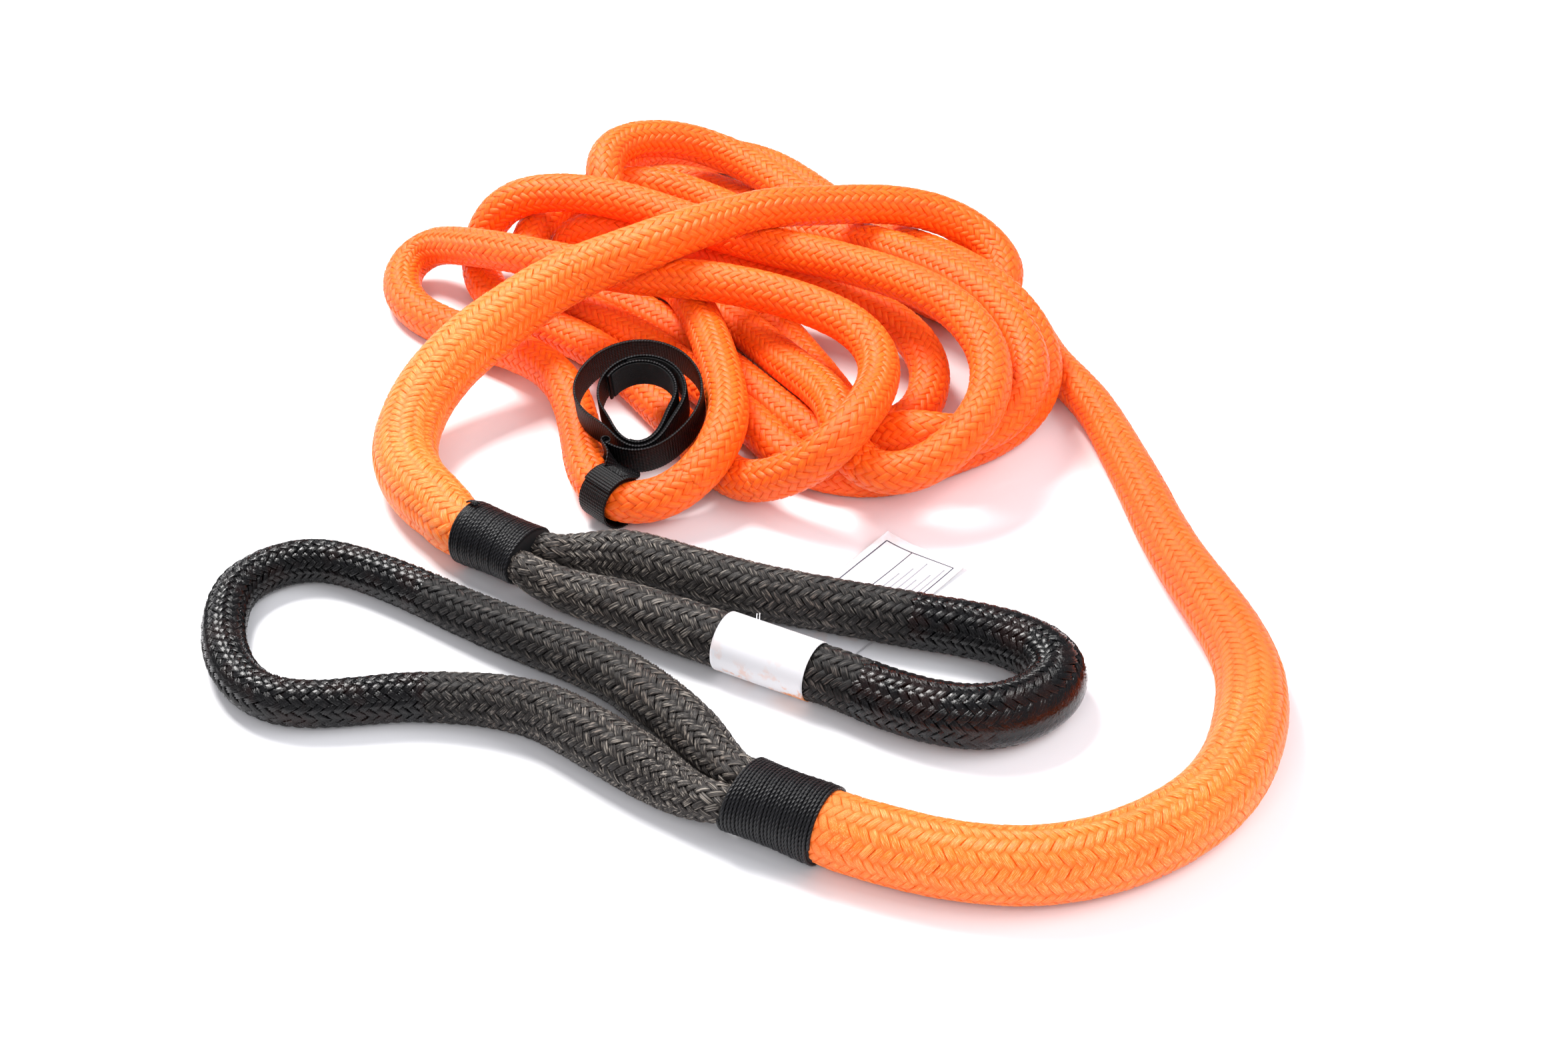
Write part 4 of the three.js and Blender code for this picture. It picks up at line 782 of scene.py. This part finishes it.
COIL_PIECES = 7
BEND_REACH = 34  # half the length over which one body hands over to the next
coil_rows = np.column_stack([ROPE_COIL, np.full(len(ROPE_COIL), PLAIN_RADIUS)])
rope = Line(np.vstack([ROPE_START, coil_rows, ROPE_END]), 7.0, narrow_start)
# where splice r meets the coil, the coil meets tail f, and tail f meets splice f
joint_r = rope.nearest((-173.57, 86.39, 59.82))
joint_tail = rope.nearest((243.50, 68.73, 13.58))
joint_f = rope.nearest((285.46, -133.93, 17.73))


def spliced(s):
    """1 on a splice, 0 on the plain rope, with a long soft change between."""
    near_r = np.clip((joint_r + 330 - s) / 420.0, 0, 1)
    near_f = np.clip((s - (joint_f + 20)) / 240.0, 0, 1)
    return soft(np.maximum(near_r, near_f))


def bend(body, next_body, joint, way=1):
    """Blend arguments for a joint; way is -1 when next_body lies back along the rope."""
    ends = (tuple(rope.at(joint + k * way * BEND_REACH, "point") * MM) for k in (-1, 1))
    return (body, next_body, *ends)


def build_rope():
    braid = Braid(rope, LENS, peak=0.598, thick=1.75, fill=1.17, jitter=1.0, seed=3)
    cuts = [0.0, joint_r - 62, *np.linspace(joint_r + 70, joint_tail - 48, COIL_PIECES + 1),
            joint_tail + 48, joint_f - 52, joint_f + 56,
            (joint_f + 56 + rope.length) / 2, rope.length]
    carriers = ["splice_r", bend("coil", "splice_r", joint_r, way=-1), *["coil"] * COIL_PIECES,
                bend("coil", "tail_f", joint_tail), "tail_f",
                bend("tail_f", "splice_f", joint_f), "splice_f", "splice_f"]
    # the first piece on each body stands in for its CAD nodes: (cover, core)
    replaced = {"coil": (["rope_cover_coil"], ["rope_core_coil"]),
                "tail_f": (["rope_cover_tail"], ["rope_core_tail"]),
                "splice_f": (["splice_cover_f"], ["splice_core_f", "buried_tail_f"]),
                "splice_r": (["splice_cover_r"], ["splice_core_r", "buried_tail_r"])}
    for k, carrier in enumerate(carriers):
        start, end = cuts[k], cuts[k + 1]
        body = carrier if isinstance(carrier, str) else "_".join(carrier[:2])
        cover_nodes, core_nodes = replaced.pop(carrier, ([], []))
        cover = braid.piece("braid_%s_%d" % (body, k), start, end, ROPE_COVER, "spl", spliced)
        hand_over(cover, "rope_cover", carrier, *cover_nodes)
        core = core_tube("core_%s_%d" % (body, k), rope, start + 0.5, end - 0.5, 1.55, ROPE_CORE)
        hand_over(core, "rope_core", carrier, *core_nodes)


build_rope()

# ------------------------------------------------------------------ eyes
# Whippings, from the rope end to the eye end.
WHIP_F = np.array([[56.44, -399.23, 22.85], [7.10, -370.23, 22.85]])
WHIP_R = np.array([[-173.42, -111.29, 22.85], [-131.37, -139.47, 22.85]])
THROAT = 78.0      # length of each leg that bends between whipping and eye
CORE_INSET = 2.9
BULGE_AT = (193.0, -278.0, 15.0)
BULGE_TOWARDS = unit(np.array([0.66, -0.72, -0.22]))


def draw_legs_in(rows, axis, pivot, squeeze):
    """Both ends of both legs are drawn in towards the axis inside the whipping."""
    rows = rows.copy()
    for pair in ((0, 1), (-1, -2)):
        for row, offset, radius in zip(pair, (10.3, 13.4), (9.8, 12.2)):
            place = rows[row, :3] - pivot
            along = axis * (place @ axis)
            rows[row, :3] = pivot + along + unit(place - along) * (offset * squeeze)
            rows[row, 3] = radius * squeeze
    return rows


def build_eye(tag, rows, whip, pivot, coated, seed, squeeze, end_radius, bulging=False):
    """coated is the two places between which the coating covers the eye."""
    axis = unit(whip[1] - whip[0])

    def ease(rows):
        """Long soft curves and slow growth where the legs leave the whipping."""
        s = run_length(rows[:, :3])
        from_end = np.minimum(s, s[-1] - s)
        share = np.clip((125 - from_end) / 50, 0, 1) * np.clip((from_end - 14) / 22, 0, 1)
        share = soft(share)[:, None]
        rows[:, :3] = rows[:, :3] * (1 - share) + smoothed(rows, 17.0)[:, :3] * share
        grown = end_radius + 0.105 * np.maximum(from_end - 13, 0)
        rows[:, 3] = np.minimum(rows[:, 3], grown)
        return rows

    line = Line(draw_legs_in(rows, axis, pivot, squeeze), 4.5, ease)
    braid = Braid(line, PLIED, peak=0.92, thick=2.5, fill=1.0, jitter=1.3, seed=seed)
    length = line.length
    coat_start, coat_end = (line.nearest(place) for place in coated)

    def pale(s):
        from_end = np.minimum(s, length - s)
        reach = np.maximum(np.minimum(coat_start, length - coat_end) - 20, 60)
        return np.clip(1.0 - (from_end - 40) / reach, 0, 1) ** 0.9

    def bulge(s, outward):
        """The fill thins out at both ends of the coating and may swell at the bulge."""
        inside = np.clip((s - coat_start) / 40, 0, 1) * np.clip((coat_end - s) / 40, 0, 1)
        swell = -0.9 * (1 - inside[:, None]) * np.ones(outward.shape[:2])
        if bulging:
            facing = np.clip((outward @ BULGE_TOWARDS) * 1.5 - 0.35, 0, 1)
            away = np.linalg.norm(line.at(s, "point") - np.array(BULGE_AT), axis=1)
            swell = swell + 2.0 * facing * np.exp(-((away / 62.0) ** 4))[:, None]
        return swell

    def cover(name, start, end, material, slot, carrier, *nodes):
        piece = braid.piece(name + "_" + tag, start, end, material, "pale", pale)
        hand_over(piece, slot, carrier, *[node + "_" + tag for node in nodes])

    def core(name, start, end, carrier, *nodes):
        piece = core_tube(name + "_" + tag, line, start, end, CORE_INSET, EYE_CORE,
                          sides=24, step=3.0)
        hand_over(piece, "rope_core", carrier, *[node + "_" + tag for node in nodes])

    body = "eye_" + tag
    throat = ("splice_" + tag, body,
              tuple((pivot - axis * 10) * MM), tuple((pivot + axis * 42) * MM))
    for leg, start, end, nodes in (("throat_a", 0, THROAT, ["throat_legs"]),
                                   ("throat_b", length - THROAT, length, [])):
        cover("sleeve_" + leg, start, end, SLEEVE, "eye_sleeve", throat, *nodes)
        core("sleeve_core_" + leg, start + 0.5, end - 0.5, throat)
    cover("sleeve_leg_a", THROAT, coat_start, SLEEVE, "eye_sleeve", body, "eye_sleeve")
    cover("sleeve_leg_b", coat_end, length - THROAT, SLEEVE, "eye_sleeve", body)
    core("sleeve_core", THROAT - 0.5, length - THROAT + 0.5, body, "eye_rope")
    cover("coating", coat_start, coat_end, COATING, "eye_coating", body, "eye_coating")
    fill = core_tube("coating_fill_" + tag, line, coat_start + 6, coat_end - 6, 1.95,
                     COATING_FILL, sides=72, step=2.0, bulge=bulge)
    hand_over(fill, "eye_coating", body)


build_eye("f", EYE_F, WHIP_F, np.array([-4.28, -363.54, 22.85]), seed=11,
          coated=((-192.0, -172.0, 16.0), (-183.0, -270.0, 16.0)),
          squeeze=1.0, end_radius=12.6)
build_eye("r", EYE_R, WHIP_R, np.array([-120.41, -146.81, 22.85]), seed=12,
          coated=((112.0, -203.0, 19.0), (80.0, -271.0, 19.0)),
          squeeze=0.89, end_radius=11.9, bulging=True)

# ------------------------------------------------------------------ whippings
WHIP_TURNS = 25
# Rows: share of the length from the rope end, half width, half height.
WHIP_PROFILE = np.array([
    [0.0, 0.03, 0.12, 0.45, 0.75, 0.93, 1.0],
    [22.6, 23.2, 23.3, 22.8, 24.0, 26.0, 26.6],
    [22.2, 22.7, 22.6, 21.3, 20.0, 18.6, 17.8]])


def build_whipping(tag, ends, scale):
    start = ends[0]
    length = float(np.linalg.norm(ends[1] - start))
    axis = unit(ends[1] - start)
    side = unit(np.cross(UP, axis))
    top = np.cross(axis, side)

    def half_sizes(share):
        return [scale * np.interp(share, WHIP_PROFILE[0], row) for row in WHIP_PROFILE[1:]]

    # one long twine, slightly uneven in its lay and tightness
    u = np.linspace(0, 1, WHIP_TURNS * 40 + 1)
    width, height = half_sizes(u)
    angle = u * WHIP_TURNS * 2 * math.pi
    drift = 0.25 * np.sin(u * 37.0) + 0.18 * np.sin(u * 91.0 + 1.0)
    slack = 1.0 + 0.005 * np.sin(u * 61.0) + 0.003 * np.sin(angle * 0.37)
    along = u * (length - 1.2) + 0.6 + drift * np.sin(math.pi * u) * 0.6
    path = (start + axis * along[:, None] + side * (width * slack * np.cos(angle))[:, None]
            + top * (height * slack * np.sin(angle))[:, None])
    turns = round_tubes("whipping_twine_" + tag, [path], 1.12, 8, TWINE)
    hand_over(turns, "twine", "splice_" + tag, "whipping_" + tag)

    # a dark core under the turns
    u = np.linspace(0, 1, 25)
    width, height = (size[:, None] - 0.35 for size in half_sizes(u))
    angle = -circle(64)
    rings = ((start + axis * (u * (length - 1.6) + 0.8)[:, None])[:, None]
             + side * (width * np.cos(angle))[:, :, None]
             - top * (height * np.sin(angle))[:, :, None])
    core = tube_set("whipping_core_" + tag, rings[None, ::-1],
                    {"su": 0.0, "sv": 0.0, "rnd": 0.0}, TWINE_CORE)
    hand_over(core, "twine", "splice_" + tag)


def build_knot():
    """Four short turned-back twines at the rope end of whipping r."""
    axis = unit(WHIP_R[1] - WHIP_R[0])

    def from_axis(place):
        return unit(place - (WHIP_R[0] + axis * ((place - WHIP_R[0]) @ axis)))

    low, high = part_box("whipping_knot_r")
    centre = (np.array(low) + np.array(high)) / 2 / MM
    centre = centre - 2.2 * from_axis(centre)
    out = from_axis(centre)
    around = np.cross(axis, out)
    t = np.linspace(0, 1, 15)
    paths = [centre + around * ((j - 1.5) * 1.25 + 0.6 * np.sin(t * 3.1 + j))[:, None]
             + axis * (3.4 - 7.0 * t - 0.4 * j)[:, None]
             + out * (-0.9 + 1.5 * np.sin(math.pi * t) * (0.7 + 0.12 * j))[:, None]
             for j in range(4)]
    knot = round_tubes("whipping_knot_twine", paths, 0.7, 8, TWINE)
    hand_over(knot, "twine", "splice_r", "whipping_knot_r")


build_whipping("f", WHIP_F, 1.0)
build_whipping("r", WHIP_R, 0.895)
build_knot()

# ------------------------------------------------------------------ label
# The label wraps a level stretch of eye r between these two places.
LABEL_FROM = np.array([68.58, -264.55, 19.45])
LABEL_TO = np.array([-17.10, -216.64, 19.45])
LABEL_RADIUS = 18.75
LABEL_ALONG = unit(LABEL_TO - LABEL_FROM)
LABEL_OUT = np.cross(LABEL_ALONG, UP)  # level, across the leg, towards +Y
LABEL_MIDDLE = (LABEL_FROM + LABEL_TO) / 2 + LABEL_ALONG * 3.0
TAIL_HALF = 31
# The tail leaves the sleeve, curls down and lies on the floor. Columns: reach, height.
TAIL_PROFILE = np.array([
    [19.2, 19.5], [19.6, 14.0], [20.6, 9.4], [23.6, 5.2], [28.2, 2.7],
    [35.0, 1.35], [44.0, 1.0], [80.0, 1.0], [140.0, 1.0], [168.5, 1.05]])


def build_label_wrap():
    angle = np.linspace(0, 2 * math.pi, 97)[:, None]
    along = np.linspace(-32, 32, 33)[None]
    radius = (LABEL_RADIUS + 0.10 * np.sin(3 * angle)
              + 0.12 * np.sin(2 * angle + 1.3) * np.cos(along / 20))
    grid = (LABEL_MIDDLE + LABEL_ALONG * along[..., None]
            + (radius * np.cos(angle))[..., None] * LABEL_OUT
            + (radius * np.sin(angle))[..., None] * UP)
    low = np.clip((26.0 - grid[:, :, 2]) / 12.0, 0.12, 1)
    wrap = sheet("label_wrap", grid, 0.42, PAPER, angle * LABEL_RADIUS, along,
                 extra={"low": low})
    hand_over(wrap, "label_paper", "label", "label_sleeve")


def tail_points(reach, across, height):
    """Places on the tail, which drifts sideways, narrows and lifts at its edges."""
    drift = np.clip((reach - 28.0) / 139.0, 0, 1)
    end_lift = 1.6 * np.clip((reach - 118.0) / 50.0, 0, 1) ** 2
    side_lift = (3.6 * np.clip((across - 4.0) / 27.0, 0, 1) ** 2
                 * np.clip((reach - 70.0) / 60.0, 0, 1))
    points = (LABEL_MIDDLE
              + LABEL_ALONG * (across * (1 - 0.03 * drift) - 23.0 * drift)[..., None]
              + LABEL_OUT * (reach + 0.07 * across * drift)[..., None])
    points[..., 2] = (height + 0.06 * np.cos(across / TAIL_HALF * 1.5) + end_lift + side_lift)
    return points


def build_label_tail():
    run = run_length(TAIL_PROFILE)
    even = np.linspace(0, run[-1], 120)
    profile = [np.interp(even, run, column) for column in TAIL_PROFILE.T]
    for _ in range(2):
        profile = [np.convolve(np.pad(column, 2, mode="edge"), np.array([1, 4, 6, 4, 1]) / 16,
                               "valid") for column in profile]
    reach, height = (column[:, None] for column in profile)
    across = np.linspace(-TAIL_HALF, TAIL_HALF, 33)[None]
    tail = sheet("label_tail_sheet", tail_points(reach, across, height), 0.36, PAPER,
                 even[:, None], across, extra={"low": 0.1})
    hand_over(tail, "label_paper", "label", "label_tail")


def build_label_rules():
    """A plain ruled frame and blank rows on the end panel."""
    left, right, bottom, top = -26.0, 26.0, 96.0, 160.0
    # (across, reach) from and to, then line width
    rules = [((left, bottom), (left, top), 0.8), ((right, bottom), (right, top), 0.8),
             ((left, top), (right, top), 0.8), ((6.0, bottom), (6.0, top), 0.7)]
    frame_rules = len(rules)
    for j in range(6):
        across = -22.5 + 4.4 * j
        rules.append(((across, 98.0), (across, 155.0 - 9.0 * (j % 3)), 0.9))
    t = np.linspace(0, 1, 16)[:, None]
    for j, (start, end, width) in enumerate(rules):
        start, end = np.array(start), np.array(end)
        way = unit(end - start)
        middle = start + (end - start) * t
        offset = width / 2 * np.array([1, 0, -1])
        grid = tail_points(middle[:, 1:] + way[0] * offset, middle[:, :1] - way[1] * offset, 1.30)
        ink = INK if j < frame_rules else INK_LIGHT
        hand_over(sheet("label_rule_%d" % j, grid, 0.16, ink, 0.0, 0.0), "label_paper", "label")


def build_label_thread():
    t = np.linspace(0, 1, 13)
    first = (LABEL_MIDDLE + LABEL_ALONG * (11 + 2.5 * t)[:, None]
             + LABEL_OUT * (6 + 5 * t)[:, None])
    first[:, 2] = LABEL_MIDDLE[2] + LABEL_RADIUS - 0.8 + 3.8 * np.sin(t * 2.4)
    second = first + LABEL_ALONG * 1.6 - LABEL_OUT * 0.7
    second[:, 2] -= 0.7 * t
    thread = round_tubes("label_thread_loop", [first, second], 0.32, 8, PAPER, {"low": 0.0})
    hand_over(thread, "label_paper", "label", "label_thread")


build_label_wrap()
build_label_tail()
build_label_rules()
build_label_thread()

# ------------------------------------------------------------------ strap round the rope
STRAP_WIDTH = 25.0
STRAP_ACROSS = np.linspace(-STRAP_WIDTH / 2, STRAP_WIDTH / 2, 27)
CINCH_THICK = 1.5
CINCH_RADIUS = 16.45 + CINCH_THICK / 2
LAP_RADIUS = CINCH_RADIUS + 1.55
LAP_END = math.radians(118)
CINCH_AXIS = unit(np.array([-0.6830, 0.7300, 0.0]))
CINCH_SIDE = unit(np.cross(UP, CINCH_AXIS))


def cinch_centre():
    """The cinch's place, moved square to its axis onto the rope's centreline."""
    centre = np.array([-86.4440, -61.7010, 18.6830]) - CINCH_AXIS * 5.0
    offset = rope.at(rope.nearest(centre), "point") - centre
    return centre + offset - CINCH_AXIS * (offset @ CINCH_AXIS)


CINCH_CENTRE = cinch_centre()


def ribs(along, across):
    """Relief of the webbing: ribs across it, thinner at the edges."""
    rib = np.abs(np.sin(math.pi * along / RIB))[:, None] ** 0.7
    edge = np.clip((12.5 - np.abs(across)) / 1.2, 0, 1)[None]
    cell = 0.5 + 0.5 * np.cos(2 * math.pi * across / 3.4)[None]
    return 0.42 * (rib - 0.5) * (0.75 + 0.25 * cell) - 0.25 * (1 - edge)


def cinch_points(angle, radius, along):
    return (CINCH_CENTRE + CINCH_AXIS * np.asarray(along)[..., None]
            + (radius * np.cos(angle))[..., None] * CINCH_SIDE
            + (radius * np.sin(angle))[..., None] * UP)


def build_cinch_layer(name, radius, start, end, count, thick, *nodes):
    angle = np.linspace(start, end, count)
    run = angle * radius
    grid = cinch_points(angle[:, None], radius, STRAP_ACROSS[None])
    band = sheet(name, grid, thick, WEBBING, run[:, None], STRAP_ACROSS,
                 ribs(run, STRAP_ACROSS))
    hand_over(band, "webbing", "strap_cinch", *nodes)


def build_bar_tack():
    """Seven rows of stitching across the lap."""
    across = np.linspace(-9.6, 9.6, 41)
    radius = LAP_RADIUS + 0.85 + 0.22 * np.abs(np.sin(across * 2.1))
    rows = [cinch_points(math.radians(96) + j * 0.045, radius, across) for j in range(7)]
    tack = round_tubes("strap_bar_tack", rows, 0.26, 6, TWINE)
    hand_over(tack, "webbing", "strap_cinch", "strap_stitching")


build_cinch_layer("strap_cinch_band", CINCH_RADIUS, math.radians(90),
                  math.radians(90) + 2 * math.pi, 521, CINCH_THICK, "strap_cinch")
build_cinch_layer("strap_cinch_lap", LAP_RADIUS, math.radians(50), LAP_END, 121, 1.4)
build_bar_tack()

# ------------------------------------------------------------------ rolled end of the strap
ROLL_CENTRE = np.array([-65.737, 2.728, 50.3])
ROLL_TURNS = 2.75
ROLL_START = math.radians(-118)


def roll_turn(tilt, lean):
    """A tilt about X, then a lean about Y, in radians."""
    about_x = np.array([[1, 0, 0], [0, math.cos(tilt), -math.sin(tilt)],
                        [0, math.sin(tilt), math.cos(tilt)]])
    about_y = np.array([[math.cos(lean), 0, math.sin(lean)], [0, 1, 0],
                        [-math.sin(lean), 0, math.cos(lean)]])
    return about_y @ about_x


def roll_radius(turn, angle):
    """Three layers, outer to inner, drawn out to a tip towards -Y."""
    from_tip = (angle - math.radians(-90) + math.pi) % (2 * math.pi) - math.pi
    tip = np.exp(-(from_tip / math.radians(32)) ** 2)
    left = 0.5 - 0.5 * np.cos(angle)
    inner = 25.0 - 0.6 * left + 18.8 * tip
    middle = inner + 3.4 + 3.0 * (1 - left) * (1 - tip)
    outer = 42.4 + 2.6 * left + 6.0 * tip
    to_middle = soft(np.clip((turn - 0.78) / 0.30, 0, 1))
    to_inner = soft(np.clip((turn - 1.86) / 0.24, 0, 1))
    radius = outer * (1 - to_middle) + middle * to_middle
    return radius * (1 - to_inner) + inner * to_inner


def roll_spiral():
    turn = np.linspace(0, ROLL_TURNS, 4000)
    angle = ROLL_START + turn * 2 * math.pi
    radius = roll_radius(turn, angle)
    return np.stack([radius * np.cos(angle), radius * np.sin(angle)], 1)


ROLL_TURN = roll_turn(tilt=math.radians(20.0), lean=math.radians(-3.5))
SPIRAL = roll_spiral()
SPIRAL_RUN = run_length(SPIRAL)
ROLL_LENGTH = SPIRAL_RUN[-1]


def build_roll_band(name, start, end, step, offset, thick, width, count, material, relief,
                    node):
    """A band along the rolled spiral, from start to end along it, offset outwards."""
    run = np.linspace(start, end, int((end - start) / step) + 1)
    spiral = np.stack([np.interp(run, SPIRAL_RUN, column) for column in SPIRAL.T], 1)
    way = unit(np.gradient(spiral, axis=0))
    spiral = spiral + np.stack([way[:, 1], -way[:, 0]], 1) * offset
    across = np.linspace(-width / 2, width / 2, count)[::-1]
    grid = np.zeros((len(run), count, 3))
    grid[:, :, :2] = spiral[:, None]
    wave = 0.5 * np.sin(run / 31.0) + 1.6 * (run / ROLL_LENGTH - 0.25)
    grid[:, :, 2] = across + wave[:, None]
    grid = grid @ ROLL_TURN.T + ROLL_CENTRE
    band = sheet(name, grid, thick, material, run[:, None], across, relief(run, across))
    hand_over(band, "webbing", "strap_roll", node)


def fuzz(along, across):
    random = np.random.RandomState(5)
    return 0.16 * (random.rand(len(along), len(across)) - 0.5)[:, ::-1]


def build_tongue():
    """Webbing from the top of the cinch to the outer end of the roll."""
    roll_end = np.array([*SPIRAL[0], -0.4]) @ ROLL_TURN.T + ROLL_CENTRE
    roll_way = np.array([*unit(SPIRAL[12] - SPIRAL[0]), 0]) @ ROLL_TURN.T
    roll_wide = UP @ ROLL_TURN.T
    cinch_end = cinch_points(np.float64(LAP_END), LAP_RADIUS, 0.0)
    cinch_way = unit(-math.sin(LAP_END) * CINCH_SIDE + math.cos(LAP_END) * UP)
    gap = np.linalg.norm(roll_end - cinch_end)
    count = 121
    u = np.linspace(0, 1, count)[:, None]
    # a cubic Hermite curve between the two ends
    path = ((2 * u ** 3 - 3 * u ** 2 + 1) * cinch_end
            + (u ** 3 - 2 * u ** 2 + u) * cinch_way * gap * 0.9
            + (-2 * u ** 3 + 3 * u ** 2) * roll_end + (u ** 3 - u ** 2) * roll_way * gap)
    wide = unit((1 - soft(u)) * CINCH_AXIS + soft(u) * roll_wide)
    way = unit(np.gradient(path, axis=0))
    wide = unit(wide - way * (wide * way).sum(1)[:, None])
    across = STRAP_ACROSS * np.linspace(1, 0.98, count)[:, None]
    run = u[:, 0] * gap * 1.3
    tongue = sheet("strap_tongue", path[:, None] + wide[:, None] * across[:, :, None], 1.45,
                   WEBBING, run[:, None], STRAP_ACROSS, ribs(run, STRAP_ACROSS))
    hand_over(tongue, "webbing",
              ("strap_cinch", "strap_roll", tuple(path[8] * MM), tuple(path[-8] * MM)))


build_roll_band("strap_roll_band", 0, ROLL_LENGTH, step=RIB / 6, offset=0.0, thick=1.75,
                width=STRAP_WIDTH, count=25, material=WEBBING, relief=ribs, node="strap_roll")
for face, start, end, node in (("in", 126, 3, "strap_hook_patch"),
                               ("out", 330, 210, "strap_loop_patch")):
    build_roll_band("strap_fuzzy_face_" + face, ROLL_LENGTH - start, ROLL_LENGTH - end,
                    step=0.8, offset=-1.42, thick=1.0, width=23.0, count=31,
                    material=FUZZY, relief=fuzz, node=node)
build_tongue()

# ------------------------------------------------------------------ stage, in metres
WHITE = (1, 1, 1, 1)


def build_floor():
    mesh = bpy.data.meshes.new("floor")
    half, z = 7.0, -0.0004
    corners = [(-half, -half, z), (half, -half, z), (half, half, z), (-half, half, z)]
    mesh.from_pydata(corners, [], [(0, 1, 2, 3)])
    floor = link("floor", mesh)
    m = Material("floor", Roughness=0.55, Base_Color=(0.86, 0.86, 0.875, 1),
                 Specular_IOR_Level=0.25)
    mesh.materials.append(m.material)
    # away from the object the camera sees the floor go evenly white
    glow = m.add("Emission", {0: WHITE}).outputs[0]
    camera_ray = m.add("LightPath").outputs["Is Camera Ray"]
    position = m.add("NewGeometry").outputs["Position"]
    distance = m.add("VectorMath", {0: position}, operation="LENGTH").outputs["Value"]
    seen = m.times(m.ramp(distance, over=(0.9, 1.8)), camera_ray)
    surface = m.add("MixShader", {0: seen, 1: m.shader.outputs[0], 2: glow}).outputs[0]
    m.put(m.tree.nodes["Material Output"].inputs[0], surface)


def build_light(name, place, target_y, size, watts, colour, glossy=True):
    """A square area light aimed at a place on the floor at x = 0."""
    light = bpy.data.lights.new(name, "AREA")
    light.shape = "RECTANGLE"
    light.size = light.size_y = size
    light.energy, light.color = watts, colour
    lamp = link(name, light)
    lamp.location = place
    aim = Vector((0, target_y, 0)) - Vector(place)
    lamp.rotation_euler = aim.to_track_quat("-Z", "Y").to_euler()
    lamp.visible_glossy = glossy


def build_world():
    """Soft bluish light; the camera itself sees white."""
    world = bpy.data.worlds.new("world")
    bpy.context.scene.world = world
    world.use_nodes = True
    nodes = Nodes(world.node_tree)
    ambient = nodes.tree.nodes["Background"]
    nodes.put(ambient.inputs[0], (0.93, 0.93, 1.0, 1))
    nodes.put(ambient.inputs[1], 0.42)
    white = nodes.add("Background", {0: WHITE, 1: 1.0}).outputs[0]
    camera_ray = nodes.add("LightPath").outputs["Is Camera Ray"]
    mixed = nodes.add("MixShader", {0: camera_ray, 1: ambient.outputs[0], 2: white})
    nodes.put(nodes.tree.nodes["World Output"].inputs[0], mixed.outputs[0])


def build_camera():
    lens = bpy.data.cameras.new("camera")
    lens.sensor_width = 36.0
    lens.lens = 60.86
    lens.clip_start, lens.clip_end = 0.05, 40
    camera = link("camera", lens)
    camera.location = (0.03140, -1.51841, 1.01500)
    camera.rotation_euler = (math.radians(55), 0, 0)
    bpy.context.scene.camera = camera


build_floor()
build_light("key", (-0.7, 0.75, 1.7), target_y=-0.05, size=0.8, watts=68.0,
            colour=(1.0, 0.985, 0.97))
build_light("fill", (1.5, -0.6, 1.5), target_y=-0.05, size=1.6, watts=32.0,
            colour=(0.96, 0.97, 1.0), glossy=False)
build_light("front", (-0.3, -1.9, 1.3), target_y=-0.1, size=1.2, watts=19.0,
            colour=(1.0, 0.99, 1.0), glossy=False)
build_light("glint", (0.5, -1.6, 1.9), target_y=-0.1, size=0.35, watts=3.0,
            colour=(1.0, 1.0, 1.0))
build_world()
build_camera()
bpy.context.scene.view_settings.view_transform = "Standard"
bpy.context.scene.view_settings.look = "None"
